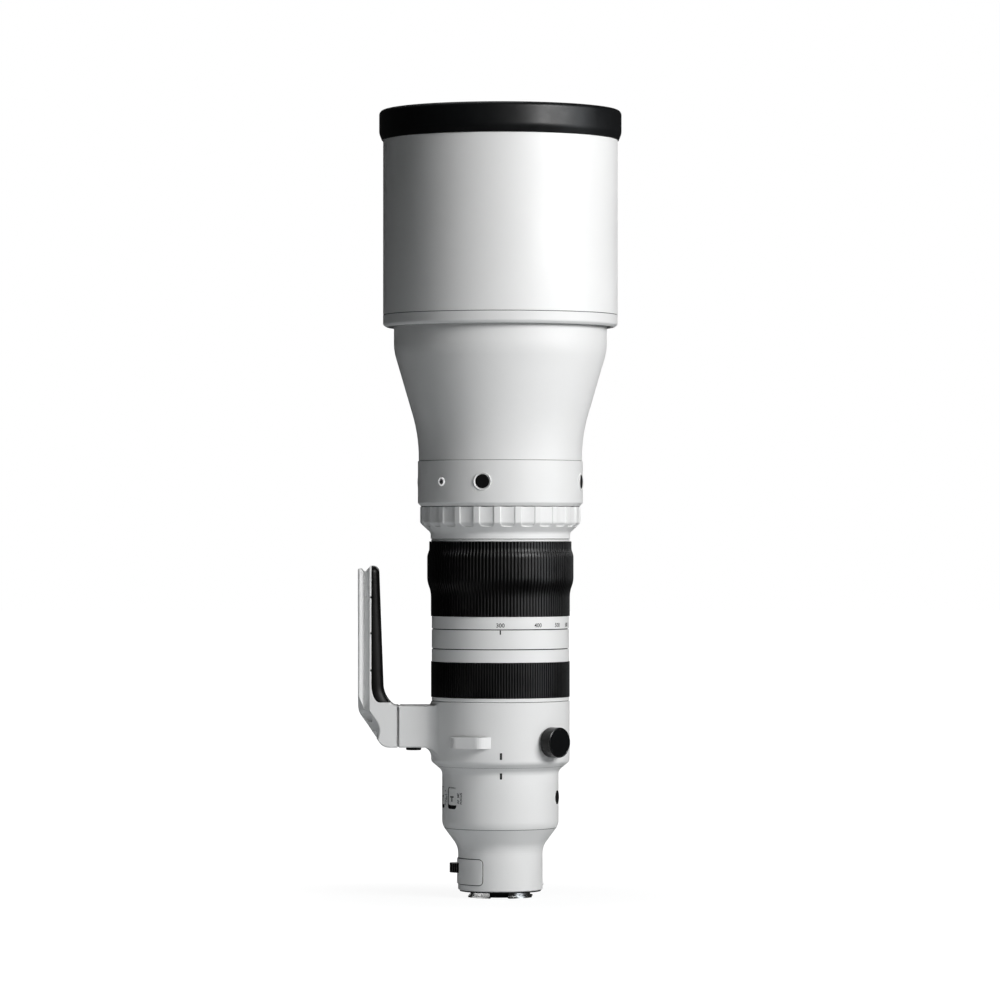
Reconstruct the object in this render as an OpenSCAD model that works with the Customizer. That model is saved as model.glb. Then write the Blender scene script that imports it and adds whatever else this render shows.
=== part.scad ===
// Internal-zoom telephoto lens, 300 to 600 mm, with a rear filter drawer, a rotating tripod
// collar and a deep hood. Millimetres. Z is the optical axis and points to the front, and the
// origin is the centre of the mount's flange face. The tripod foot hangs on the -X side.

/* [Barrel lengths] */
// Rear barrel, from the flange face to the switch barrel
rear_len = 49.8; // [46:0.1:54]
// Switch barrel
switch_len = 48.3; // [46:0.1:70]
// Tripod collar
collar_len = 51.1; // [50:0.1:70]
// Focus ring
focus_len = 40.9; // [36:0.1:60]
// Fixed band with the index mark
index_len = 15.4; // [12:0.1:24]
// Zoom ring
zoom_len = 70.3; // [66:0.1:90]
// Scalloped preset ring
preset_len = 25.6; // [22:0.1:36]
// Band that carries the focus buttons
band_len = 35.8; // [32:0.1:50]
// Front barrel
front_len = 129.8; // [120:0.1:160]

/* [Barrel radii] */
// Rear barrel
rear_r = 33.1; // [32.5:0.1:36]
// Switch barrel
switch_r = 45.65; // [44:0.05:48]
// White bands of the focus, index and zoom rings
ring_r = 53.8; // [53:0.1:57]
// Tripod collar
collar_r = 54.3; // [54:0.1:57]
// Neck of the preset ring
preset_neck_r = 54.7; // [54:0.1:57]
// Scalloped part of the preset ring
preset_r = 62.9; // [61:0.1:66]
// Button band
band_r = 64.7; // [64:0.1:68]
// Step from the button band down to the front barrel's neck
neck_step = 0.65; // [0.3:0.05:1.2]
// Mouth of the front barrel
front_r = 83.5; // [82:0.1:90]

/* [Walls and clearances] */
// Wall of the outer shells
shell_wall = 2.6; // [2:0.1:3.4]
// Wall of the inner tubes
tube_wall = 2; // [1.6:0.1:2.4]
// Total thickness of a ring's white band
band_wall = 2.8; // [2.4:0.1:3.2]
// Radial gap between turning sleeves
run_gap = 0.3; // [0.2:0.05:0.4]
// Seam between neighbouring rings
seam = 0.3; // [0.2:0.05:0.5]
// Radial clearance of a shaft or plunger in its bore
fit = 0.05; // [0.02:0.01:0.1]

/* [Mount] */
// Radius of the bayonet's spigot
spigot_r = 24.3; // [24:0.05:24.6]
// Radius over the bayonet's claws
claw_r = 26.2; // [25.8:0.05:26.4]
// Depth of the bayonet behind the flange face
claw_depth = 4.5; // [4:0.1:5]
// Thickness of a claw
claw_t = 1.4; // [1.2:0.1:1.8]
// Width of a claw in degrees
claw_deg = 55; // [45:1:60]
// Bore of the bayonet
mount_bore_r = 22.4; // [22.2:0.1:22.8]
// Radius of the flange plate
flange_r = 29.8; // [29.4:0.1:30.2]
// Thickness of the flange plate
flange_t = 2.4; // [2:0.1:3]
// Gap between the flange face and the rear barrel, which the seal fills
seal_h = 1.2; // [0.8:0.1:1.6]
// Outer radius of the seal
seal_r = 31.7; // [31.4:0.1:32]

/* [Filter drawer] */
// Lower edge of the drawer's cover
cover_z = 6.3; // [5:0.1:8]
// Height of the cover
cover_h = 19.5; // [19:0.1:21]
// Half the cover's width, in degrees round the barrel
cover_half_deg = 65; // [58:1:70]
// Corner radius of the cover
cover_corner = 3.2; // [2:0.1:4]
// How far the cover stands proud of the barrel
cover_proud = 0.8; // [0.4:0.1:1.2]
// Gear module of the filter wheel and ring
gear_m = 0.6; // [0.58:0.01:0.62]
// Teeth of the thumb wheel
wheel_teeth = 30; // [28:1:31]
// Teeth of the filter ring
ring_teeth = 71; // [69:1:71]
// Height of the thumb wheel
wheel_h = 7.5; // [6.5:0.1:8]

/* [Grips] */
// Ribs of the focus rubber
focus_ribs = 158; // [100:1:180]
// Ribs of the zoom rubber
zoom_ribs = 129; // [90:1:150]
// Depth of the grooves between ribs
rib_depth = 0.8; // [0.5:0.1:1]
// Share of each rib's pitch that is groove
groove_share = 0.42; // [0.3:0.01:0.5]
// Thickness of the zoom rubber
rubber_t = 2; // [1.6:0.1:2.2]
// How far the rear of the zoom rubber stands over the band
zoom_grip_rear = 0.7; // [0.5:0.1:1.5]
// How far its bulge stands over the band
zoom_grip_bulge = 3.6; // [2.5:0.1:4]
// How far its front stands over the band
zoom_grip_front = 2; // [1:0.1:2.4]
// Width of the zoom ring's scale band
scale_band = 10; // [8:0.1:12]
// Width of the focus rubber
focus_grip_len = 27.8; // [22:0.1:31]
// Scallops round the preset ring
scallops = 24; // [16:1:30]
// Depth of a scallop
scallop_depth = 1.5; // [1:0.1:1.6]
// Radius of a scallop
scallop_r = 13.4; // [10:0.1:16]

/* [Zoom mechanism] */
// Turn of the zoom ring from 300 to 600 mm, in degrees
zoom_turn = 73; // [60:1:78]
// Travel of the variator group
variator_travel = 44; // [38:0.5:45]
// Travel of the compensator group
compensator_travel = 18; // [14:0.5:20]
// Length of the variator cell
variator_len = 22; // [20:0.5:23]
// Length of the compensator cell
compensator_len = 12; // [10:0.5:12.5]
// Radius of a cam roller
roller_r = 2.5; // [2:0.1:2.8]
// Clearance of a roller in its slot
roller_gap = 0.2; // [0.15:0.05:0.3]
// Travel of the focus group
focus_travel = 12; // [8:0.5:14]

/* [Collar and foot] */
// Lower edge of the arm above the collar's rear end
arm_rise = 14.9; // [13:0.1:17]
// Height of the arm along the barrel
arm_h = 32.6; // [31:0.1:34]
// Half width of the arm and foot
arm_half = 21.1; // [20:0.1:22.5]
// Distance from the axis to the joint between arm and foot
arm_reach = 79.7; // [78:0.1:82]
// Distance from the axis to the foot's outer face
foot_reach = 111.3; // [110:0.1:114]
// Foot from the arm's underside to the tip of its dovetail
foot_len = 139.8; // [120:0.1:160]
// Half width of the dovetail flange, for a 38 mm clamp
dovetail_half = 19; // [18.5:0.1:19.5]
// Thickness of the dovetail flange
dovetail_t = 1.9; // [1.5:0.1:2.4]
// Depth of the V groove beside the flange
groove_depth = 3.1; // [2.5:0.1:3.3]
// Radius of the collar's lock knob
knob_r = 11.7; // [9:0.1:12.5]
// Height of the lock knob
knob_h = 9.3; // [7:0.1:12]
// Half the length of a strap lug's flat
lug_flat = 12.1; // [11:0.1:14]
// Distance from the axis to a strap lug's outer face
lug_reach = 60.3; // [59.5:0.1:62]
// Height of a strap lug
lug_h = 8.8; // [7:0.1:11]

/* [Switches and buttons] */
// Width of a switch window
window_w = 11.5; // [9:0.1:13]
// Height of a switch window
window_h = 16.8; // [15:0.1:18]
// Travel of a slide switch
switch_travel = 2.5; // [2:0.1:3]
// Lower edge of the switch windows above the switch barrel's rear end
window_rise = 15.7; // [13:0.1:18]
// Radius of a focus button
button_r = 5.4; // [4.5:0.1:6]
// Radius of the raised ring round a focus button
button_boss_r = 6.95; // [6.6:0.05:7.4]
// Travel of a button
button_travel = 0.8; // [0.5:0.1:1]

/* [Hood] */
// How far the hood stands out from the front barrel's mouth
hood_step = 8.5; // [7.5:0.1:12]
// Wall of the hood tube
hood_wall = 2.5; // [2:0.1:3]
// Height of the hood's mounting ring that shows
hood_base_h = 9.6; // [8:0.1:12]
// Length of the hood tube from the ring to the rim
hood_tube_len = 136.9; // [100:0.1:170]
// How far the hood reaches back over the front barrel
hood_overlap = 25.2; // [22:0.1:28]
// Height of the rubber rim
rim_h = 23.3; // [16:0.1:28]
// How far the rim stands out from the tube
rim_proud = 3.1; // [2:0.1:4]

/* [Hidden] */
$fn = 96;
eps = 0.5; // how far a cutter runs past the face it leaves

// Stations along the axis
z_switch = rear_len;
z_collar = z_switch + switch_len;
z_focus = z_collar + collar_len;
z_index = z_focus + focus_len;
z_zoom = z_index + index_len;
z_preset = z_zoom + zoom_len;
z_band = z_preset + preset_len;
z_front = z_band + band_len;
z_mouth = z_front + front_len;

// Radii of the nested tubes, from the outside in
sleeve_ri = ring_r - band_wall;
main_ro = sleeve_ri - run_gap;
main_ri = main_ro - tube_wall;
cam_ro = main_ri - run_gap;
cam_ri = cam_ro - tube_wall;
guide_ro = cam_ri - run_gap;
guide_ri = guide_ro - tube_wall;
cell_r = guide_ri - run_gap;

// Joint between the switch barrel and the main barrel, which traps the collar's rear lip
neck_h = 3.1;
neck_r = main_ro - 3.2;
main_flange_t = 3;
main_flange_ri = 38;
z_main = z_collar + neck_h;

// Shoulders of the shells: each swells from one radius to the next along an S curve
rear_shoulder_deg = 36.5;
rear_shoulder_z = 29.6;
rear_shoulder = s_curve(rear_r, switch_r, rear_shoulder_z, rear_shoulder_deg, 16, 12);
collar_shoulder_deg = 50;
collar_shoulder_drop = 6.4;
collar_shoulder = s_curve(switch_r, collar_r, z_collar - collar_shoulder_drop, collar_shoulder_deg, 6, 4);
preset_shoulder_deg = 47;
preset_shoulder_rise = 3.2;
preset_shoulder_f = [4, 2.5];
preset_wall = 3.7;
preset_outer = s_curve(preset_neck_r, preset_r, z_preset + preset_shoulder_rise, preset_shoulder_deg,
                       preset_shoulder_f[0], preset_shoulder_f[1]);
preset_inner = s_curve(sleeve_ri, preset_r - preset_wall, z_preset + preset_shoulder_rise,
                       preset_shoulder_deg, preset_shoulder_f[0], preset_shoulder_f[1]);
flare_gap = 0.45;
flare_lift = 0.2;
flare_ro = preset_r - preset_wall - flare_gap;
main_flare = s_curve(main_ro, flare_ro, z_preset + preset_shoulder_rise + flare_lift,
                     preset_shoulder_deg, preset_shoulder_f[0], preset_shoulder_f[1]);
front_cone_f = [120, 40]; // hollow fillet and round of the cone
front_cone_len = z_mouth - z_front - 40.4;
front_cone_deg = flank(band_r - neck_step, front_r, front_cone_len, front_cone_f[0] + front_cone_f[1]);
front_neck_r = band_r - neck_step;
front_cone = s_curve(front_neck_r, front_r, z_front + 2.4, front_cone_deg, front_cone_f[0], front_cone_f[1]);

// Mount
mount_screw_r = 27.4;
gap_centre = -2.2; // the gap between two claws that faces the viewer
claw_hole_at = [-36.5, 37.4];
contact_ro = mount_bore_r - 0.1;
contact_ri = 17;
contact_drop = 3.4;
contacts = 10;

// Filter drawer. The drawer's own frame has +X pointing out of the barrel on the foot's side.
cover_t = 2;
cover_ro = rear_r + cover_proud;
cover_ri = cover_ro - cover_t;
drawer_gap = 0.2;
wheel_pitch_r = gear_m * wheel_teeth / 2;
ring_pitch_r = gear_m * ring_teeth / 2;
wheel_x = wheel_pitch_r + ring_pitch_r;
tooth_add = 0.8 * gear_m;
wheel_z = cover_z + (cover_h - wheel_h) / 2 + 2.3;
wheel_slack = 0.3;
tray_z = wheel_z - wheel_slack - 2.3;
tray_top = wheel_z + wheel_h + wheel_slack + 1.8;
tray_r = 25.5;
cavity_z = tray_z - drawer_gap;
cavity_top = tray_top + drawer_gap;
cavity_r = 30.2;
ring_cavity_r = ring_pitch_r + tooth_add + 0.5;
wheel_cavity_r = wheel_pitch_r + tooth_add + 0.42;
filter_hub_r = 20.2;
filter_r = 19;
filter_clear_r = 18;
axle_r = 1.5;

// Rear barrel inside
rear_bore_r = 22.6;
shelf_t = 2.6;
shelf_ri = 24.2;
z_shelf = cavity_top + shelf_t;
lap_h = 3.8;
lap_ro = switch_r - 5.2;
lap_ri = lap_ro - 2.05;
switch_ri = switch_r - shell_wall;

// Focus ring
focus_lip = (focus_len - focus_grip_len) * 0.2 + 0.4;
z_focus_grip = z_focus + focus_lip;
focus_grip_r = ring_r + 0.6;
focus_seat_r = sleeve_ri + 1.6;

// Zoom ring
z_zoom_grip = z_zoom + scale_band;
zoom_lip = 1.8;
zoom_lip_r = ring_r + 0.4;

// Zoom mechanism
guide_flange_t = 3;
z_comp_tele = z_zoom - 24.5 + compensator_travel;
z_guide = z_comp_tele - 13;
z_comp = z_comp_tele + compensator_travel;
z_var_tele = z_comp_tele + (compensator_len + variator_len) / 2 + 8;
z_var = z_var_tele + variator_travel;
z_guide_end = z_var + 14;
slot_r = roller_r + roller_gap;
variator_at = 0; // where the first variator roller is, in degrees
compensator_at = 20; // where the first compensator roller is
key_deg = 12;
key_h = 6;
key_z = z_zoom + 3.5;
key_at = compensator_at + 84;

// Iris and focus group
iris_len = 14;
z_iris = z_guide - 4 - iris_len;
blades = 11;
blade_r = 36; // middle of a blade when it is drawn back
blade_w = 8;
rail_r = 1.5;
rail_at_r = main_ri - 3.1;
z_focus_cell = z_main + 10;
focus_cell_len = 16;

// Front elements
front_seat_z = z_mouth - 33;
second_seat_z = z_mouth - 65;
front_glass_r = front_r - 4.5;
front_clear_r = front_glass_r - 3.5;
second_glass_r = radius_on(front_cone, second_seat_z) - 6.3;
front_edge = 6.3; // rim of the front element, and how far its face bulges
front_sag = 8.2;
second_edge = 9;
second_sag = 6;

// Hood
z_hood = z_mouth - hood_overlap;
z_hood_tube = z_hood + hood_base_h;
z_rim = z_hood_tube + hood_tube_len;
hood_r = front_r + hood_step;
hood_ri = hood_r - hood_wall;
hood_bore_r = front_r + run_gap;
hood_knob_z = z_hood_tube + 3.6;
hood_knob_r = 7;

// Collar and foot. Their frame has +X pointing out along the foot's side.
z_arm = z_collar + arm_rise;
collar_ri = sleeve_ri;
arm_fillet = 12;
arm_skirt_r = 8; // fillet under the arm
arm_edge = 1.6;
knob_at = 45;
knob_z = z_arm + 5;
knob_shank_r = 3;
lug_at = [-26.7, -153.3];
lug_t = 2.6;
click_x = arm_reach - 11.7;
click_r = 6;
foot_screw_x = arm_reach + 8.3;
foot_screw_at = [[-13, 8], [13, 8], [-13, 24.6], [13, 24.6]];
pad_back = foot_reach - 10.7;
pad_end = [pad_back - 6.4, z_arm + 35.3];
pad_bend_z = z_arm + 49.3;
foot_tip = z_arm + foot_len + 2.1;
heel_x = arm_reach + 12;
heel_chamfer = 6;

// Switches and buttons
switch_at = [-56, -80, -104, -128];
switch_names = ["switch_1", "switch_2", "switch_3", "switch_4"];
z_window = z_switch + window_rise;
slider_gap = 0.3;
slider_h = window_h - switch_travel - 2 * slider_gap;
focus_button_at = [-12.5, 77.5, 167.5, -102.5];
z_button = z_band + 19.1;
band_ri = band_r - 3.2;
function_at = 77;
z_function = z_switch + 24;

// Colours
white = [0.82, 0.82, 0.81];
black = [0.07, 0.07, 0.07];
metal = [0.35, 0.35, 0.36];
glass = [0.55, 0.65, 0.75];

// Points [radius, z] of an S curve from radius r0 to r1, with a straight flank at angle a to the
// axis between a hollow fillet f0 and a round f1
function s_curve(r0, r1, z0, a, f0, f1, n = 6) =
    let (z1 = z0 + f0 * sin(a), z2 = z1 + (r1 - r0 - (f0 + f1) * (1 - cos(a))) / tan(a))
    concat([for (i = [0:n]) let (t = a * i / n) [r0 + f0 * (1 - cos(t)), z0 + f0 * sin(t)]],
           [for (i = [0:n]) let (t = a * (1 - i / n))
               [r1 - f1 * (1 - cos(t)), z2 + f1 * (sin(a) - sin(t))]]);

// Angle of the flank that takes such a curve from r0 to r1 in a given length; f is both fillets' sum
function flank(r0, r1, len, f) = asin(f / norm([len, f - r1 + r0])) - atan2(f - r1 + r0, len);

function radius_on(curve, z) = lookup(z, [for (p = curve) [p[1], p[0]]]);
function below(curve, z) = concat([for (p = curve) if (p[1] < z - 0.01) p], [[radius_on(curve, z), z]]);
function above(curve, z) = concat([[radius_on(curve, z), z]], [for (p = curve) if (p[1] > z + 0.01) p]);
function inset(curve, d) = [for (p = curve) [p[0] - d, p[1]]];
function reversed(list) = [for (i = [len(list) - 1:-1:0]) list[i]];

// An outline whose corners [x, y, setback] are bent round, with setback 0 for a sharp one
function unit(v) = v / norm(v);
function bend(a, p, b, d, n = 4) =
    let (q = [p[0], p[1]], s = q + d * unit([a[0], a[1]] - q), e = q + d * unit([b[0], b[1]] - q))
    d == 0 ? [q] : [for (i = [0:n]) let (t = i / n) (1 - t) * (1 - t) * s + 2 * t * (1 - t) * q + t * t * e];
function rounded(pts) =
    let (n = len(pts))
    [for (i = [0:n - 1]) each bend(pts[(i + n - 1) % n], pts[i], pts[(i + 1) % n], pts[i][2])];

// Outline of a spur gear with straight flanks, for a small module
function gear(teeth, turn) =
    let (r = gear_m * teeth / 2, p = 360 / teeth, d = 180 / PI / r,
         half = PI * gear_m / 4 - 0.06, lean = tan(20))
    [for (i = [0:teeth - 1], c = [[-gear_m, -1], [tooth_add, -1], [tooth_add, 1], [-gear_m, 1]])
        let (a = i * p + turn + c[1] * (half - c[0] * lean) * d) (r + c[0]) * [cos(a), sin(a)]];

// Turns a shape made along +X to a clock angle: 0 faces -Y, and positive goes towards +X
module at(angle) rotate([0, 0, angle - 90]) children();

// The foot's side, where +X points out along -X
module foot_side() rotate([0, 0, 180]) children();

module ring(ri, ro, z0, z1) rotate_extrude() translate([ri, z0]) square([ro - ri, z1 - z0]);

module sector(ri, ro, z0, z1, a0, a1)
    rotate([0, 0, a0]) rotate_extrude(angle = a1 - a0) translate([ri, z0]) square([ro - ri, z1 - z0]);

module turned(pts) rotate_extrude() polygon(pts);

module peg(r, x0, x1) translate([x0, 0, 0]) rotate([0, 90, 0]) cylinder(r = r, h = x1 - x0);

// A lens element with a flat rim: sag is the height of each face, positive when it bulges
module element(r, clear_r, edge, front_sag, rear_sag) {
    difference() {
        union() {
            cylinder(r = r, h = edge);
            if (front_sag > 0) translate([0, 0, edge]) cap(clear_r, front_sag);
            if (rear_sag > 0) mirror([0, 0, 1]) cap(clear_r, rear_sag);
        }
        if (front_sag < 0) translate([0, 0, edge]) mirror([0, 0, 1]) cap(clear_r, -front_sag);
        if (rear_sag < 0) cap(clear_r, -rear_sag);
    }
}

module cap(r, sag) {
    ball = (r * r + sag * sag) / (2 * sag);
    intersection() {
        translate([0, 0, sag - ball]) sphere(r = ball, $fn = 180);
        cylinder(r = r + 1, h = sag + 1);
    }
}

// Mount

module bayonet_mount() color(metal) difference() {
    turned([[mount_bore_r, -claw_depth], [claw_r, -claw_depth], [claw_r, claw_t - claw_depth],
            [spigot_r, claw_t - claw_depth], [spigot_r, 0], [flange_r, 0], [flange_r, flange_t],
            [mount_bore_r, flange_t]]);
    for (i = [0:3]) at(gap_centre + 90 * i)
        sector(mount_bore_r - 1, claw_r + 1, -claw_depth - 1, 0, claw_deg / 2 - 45, 45 - claw_deg / 2);
    for (i = [0:3]) at(gap_centre + 90 * i) translate([mount_screw_r, 0, 0]) {
        translate([0, 0, -eps]) cylinder(r = 1.05, h = flange_t + 2 * eps);
        translate([0, 0, -0.3]) cylinder(r1 = 2.2, r2 = 1.05, h = 1.25);
    }
    for (a = claw_hole_at) at(a) translate([0, 0, -2]) peg(0.6, mount_bore_r - eps, spigot_r + eps);
}

module bayonet_screws() color("silver")
    for (i = [0:3]) at(gap_centre + 90 * i) translate([mount_screw_r, 0, 0]) difference() {
        union() {
            translate([0, 0, 0.05]) cylinder(r1 = 1.85, r2 = 0.95, h = 0.95);
            translate([0, 0, 0.05]) cylinder(r = 0.95, h = 6);
        }
        for (a = [0, 90]) rotate([0, 0, a]) translate([-1, -0.15, -eps]) cube([2, 0.3, eps + 0.55]);
    }

module mount_seal() color(black) {
    ring(flange_r + 0.1, seal_r, 0.1, seal_h);
    ring(flange_r + 0.5, seal_r - 0.5, seal_h, seal_h + 0.8);
}

module contact_block() color(black) difference() {
    union() {
        ring(mount_bore_r - 2.8, contact_ro, -contact_drop - 0.5, flange_t + 0.2);
        ring(mount_bore_r - 2.8, contact_ro + 2, flange_t, flange_t + 1.2);
        at(-90) sector(contact_ri, contact_ro, -contact_drop, -0.5, -36, 36);
    }
    at(-90) sector(contact_ri - 1, contact_ro - 0.8, -contact_drop - 1, -contact_drop, -35, 35);
    at(-90) contact_places() translate([0, 0, -contact_drop - eps]) cylinder(r = 0.62, h = 1.5);
}

module contact_places()
    for (i = [0:contacts - 1]) rotate([0, 0, (i - (contacts - 1) / 2) * 6.8])
        translate([19.2, 0, 0]) children();

module contact_pins() color("gold") at(-90) contact_places() {
    translate([0, 0, -contact_drop]) cylinder(r = 0.6, h = 0.95);
    translate([0, 0, -contact_drop]) sphere(r = 0.6);
}

// Fixed barrels

module rear_barrel() color(white) {
    difference() {
        turned(concat(
            [[0, seal_h], [rear_r - 0.6, seal_h], [rear_r, seal_h + 0.6]],
            below(rear_shoulder, rear_len),
            [[lap_ro, rear_len], [lap_ro, rear_len + lap_h], [0, rear_len + lap_h]]));
        translate([0, 0, -1]) cylinder(r = rear_bore_r, h = z_shelf);
        translate([0, 0, cavity_top - eps]) cylinder(r = shelf_ri, h = shelf_t + 2 * eps);
        turned(concat(
            [[0, z_shelf]],
            [for (p = concat([[rear_r, z_shelf]], rear_shoulder))
                if (p[0] - shell_wall < lap_ri && p[1] < rear_len) [p[0] - shell_wall, p[1]]],
            [[lap_ri, lap_start()], [lap_ri, rear_len + lap_h + eps], [0, rear_len + lap_h + eps]]));
        translate([0, 0, cavity_z]) cylinder(r = cavity_r, h = cavity_top - cavity_z);
        foot_side() translate([0, -tray_r - drawer_gap, cavity_z])
            cube([rear_r + 5, 2 * (tray_r + drawer_gap), cavity_top - cavity_z]);
        foot_side() cover_shape(cover_ri - drawer_gap, cover_ro + 1, drawer_gap);
        translate([0, 0, -eps]) cylinder(r = flange_r + 0.05, h = flange_t + eps);
        translate([0, 0, flange_t - eps]) cylinder(r = contact_ro + 2.1, h = 1.3 + eps);
        ring(flange_r + 0.5, seal_r - 0.5, seal_h - eps, seal_h + 0.8);
        for (i = [0:3]) at(gap_centre + 90 * i) translate([mount_screw_r, 0, flange_t - eps])
            cylinder(r = 1, h = 6);
    }
    at(90) translate([rear_r - 0.2, 0, 5.7]) difference() {
        sphere(r = 1.2, $fn = 48);
        translate([-2.3, -2, -2]) cube([2, 4, 4]);
    }
}

// Where the wall inside the rear shoulder has opened to the lap's bore
function lap_start() =
    let (outer = lap_ri + shell_wall)
    lookup(outer, [for (p = rear_shoulder) [p[0], p[1]]]);

module switch_barrel() color(white) difference() {
    turned(concat(
        [[lap_ro + fit, rear_len]],
        above(below(rear_shoulder, z_collar), rear_len),
        below(collar_shoulder, z_collar),
        [[neck_r, z_collar], [neck_r, z_main], [switch_ri, z_main], [switch_ri, rear_len + lap_h + 4],
         [lap_ro + fit, rear_len + lap_h + 1]]));
    for (a = switch_at) at(a) translate([switch_ri - 5, -window_w / 2, z_window])
        cube([20, window_w, window_h]);
    at(function_at) translate([0, 0, z_function]) peg(button_r + 2 * fit, switch_ri - 5, switch_r + 5);
}

module main_barrel() color(metal) difference() {
    turned(concat(
        [[main_flange_ri, z_main], [main_ro, z_main]],
        main_flare,
        [[flare_ro, z_band], [flare_ro - 6, z_band], [flare_ro - 6, z_band - 2.4],
         [flare_ro - tube_wall, z_band - 2.4]],
        reversed(inset(main_flare, tube_wall)),
        [[main_ri, z_main + main_flange_t], [main_flange_ri, z_main + main_flange_t]]));
    // window that the zoom key sweeps
    sector(main_ri - 5, main_ro + 1, key_z - 1, key_z + key_h + 1,
           key_at - zoom_turn - key_deg / 2 - 2, key_at + key_deg / 2 + 2);
    for (a = [0, 120, 240]) rotate([0, 0, a]) translate([rail_at_r, 0, z_main - eps])
        cylinder(r = rail_r, h = main_flange_t + 2 * eps);
}

module index_band() color(white) difference() {
    turned([[main_ro, z_index + seam / 2], [ring_r - 0.3, z_index + seam / 2],
            [ring_r, z_index + seam / 2 + 0.3],
            [ring_r, z_zoom - seam / 2 - 0.3], [ring_r - 0.3, z_zoom - seam / 2],
            [main_ro, z_zoom - seam / 2]]);
}

module button_band() color(white) difference() {
    union() {
        turned([[flare_ro - 6, z_band], [band_r - 2.3, z_band], [band_r, z_band + 2.7],
                [band_r, z_front - 0.6], [band_r - 0.6, z_front], [band_ri, z_front],
                [band_ri, z_band + 3], [flare_ro - 6, z_band + 3]]);
        for (a = focus_button_at) at(a) translate([0, 0, z_button])
            peg(button_boss_r, band_ri + 1, band_r + 0.6);
    }
    for (a = focus_button_at) at(a) translate([0, 0, z_button])
        peg(button_r + 2 * fit, band_ri - 5, band_r + 2);
}

module front_barrel() color(white) {
    wall = shell_wall + 0.4;
    turned(concat(
        [[band_ri - fit, z_front - 6], [band_ri - fit, z_front], [front_neck_r, z_front]],
        front_cone,
        [[front_r, z_mouth - 0.8], [front_r - 0.8, z_mouth], [front_glass_r + 0.1, z_mouth],
         [front_glass_r + 0.1, front_seat_z], [front_clear_r, front_seat_z],
         [front_clear_r, second_seat_z + 16], [second_glass_r + 0.1, second_seat_z + 16],
         [second_glass_r + 0.1, second_seat_z], [second_glass_r - 3, second_seat_z],
         [second_glass_r - 3, second_seat_z - 4],
         [radius_on(front_cone, second_seat_z - 7) - wall, second_seat_z - 7]],
        reversed([for (p = inset(front_cone, wall)) if (p[1] < second_seat_z - 8) p]),
        [[band_ri - 3, z_front + 2], [band_ri - 3, z_front - 6]]));
}

module front_retaining_ring() color(metal) difference() {
    z = front_seat_z + front_edge + 0.1;
    turned([[front_clear_r + 0.2, z], [front_glass_r, z], [front_glass_r, z + 7.6],
            [front_clear_r + 2, z + 7.6],
            [front_clear_r + 0.2, z + 2.6]]);
    for (a = [0, 180]) rotate([0, 0, a]) translate([front_clear_r - 2, -1.2, z + 5.1])
        cube([10, 2.4, 4]);
}

module front_element() color(glass) translate([0, 0, front_seat_z])
    element(front_glass_r, front_clear_r, front_edge, front_sag, 0);

module second_element() color(glass) translate([0, 0, second_seat_z])
    element(second_glass_r, second_glass_r - 3, second_edge, second_sag, -second_sag / 2);

// Zoom mechanism

// A cam slot follows its roller: straight ends joined by a helix over the zoom ring's turn, which
// runs on past both ends by the roller's radius to clear its lower and upper edge
module cam_slot(at_deg, z_rest, travel) {
    reach = zoom_turn * PI / 180 * (cam_ro + cam_ri) / 2;
    half = asin(slot_r / sin(atan2(travel, reach)) / cam_ro);
    over = slot_r / travel;
    rotate([0, 0, at_deg + (1 + over) * zoom_turn]) translate([0, 0, z_rest - (1 + over) * travel])
        linear_extrude(height = (1 + 2 * over) * travel, twist = (1 + 2 * over) * zoom_turn,
                       slices = 16, $fn = 4)
            polygon([[cam_ri - 1, (1 - cam_ri) * tan(half)], [cam_ro + 1, -(cam_ro + 1) * tan(half)],
                     [cam_ro + 1, (cam_ro + 1) * tan(half)], [cam_ri - 1, (cam_ri - 1) * tan(half)]]);
    rotate([0, 0, at_deg]) translate([0, 0, z_rest]) peg(slot_r, cam_ri - 1, cam_ro + 1);
    rotate([0, 0, at_deg + zoom_turn]) translate([0, 0, z_rest - travel]) peg(slot_r, cam_ri - 1, cam_ro + 1);
}

module cam_tube() color("dimgray") difference() {
    ring(cam_ri, cam_ro, z_guide + guide_flange_t + 0.4, z_guide_end - 0.5);
    for (i = [0:2]) {
        cam_slot(variator_at + 120 * i, z_var, variator_travel);
        cam_slot(compensator_at + 120 * i, z_comp, compensator_travel);
    }
    rotate([0, 0, key_at]) translate([0, 0, key_z + key_h / 2]) peg(1.5, cam_ri - 1, cam_ro + 1);
}

module zoom_key() color("silver") {
    sector(cam_ro + fit, sleeve_ri, key_z, key_z + key_h, key_at - key_deg / 2, key_at + key_deg / 2);
    rotate([0, 0, key_at]) translate([0, 0, key_z + key_h / 2]) peg(1.45, cam_ri + 0.2, cam_ro + 2 * fit);
}

// A straight slot along the axis, as far as a roller runs
module guide_slot(at_deg, z_rest, travel) rotate([0, 0, at_deg]) {
    translate([guide_ri - 1, -slot_r, z_rest - travel]) cube([tube_wall + 2, 2 * slot_r, travel]);
    for (z = [z_rest, z_rest - travel]) translate([0, 0, z]) peg(slot_r, guide_ri - 1, guide_ro + 1);
}

module guide_tube() color("gray") difference() {
    union() {
        ring(guide_ri, guide_ro, z_guide, z_guide_end);
        ring(guide_ri, main_ri, z_guide, z_guide + guide_flange_t);
    }
    for (i = [0:2]) {
        guide_slot(variator_at + 120 * i, z_var, variator_travel);
        guide_slot(compensator_at + 120 * i, z_comp, compensator_travel);
    }
}

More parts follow.
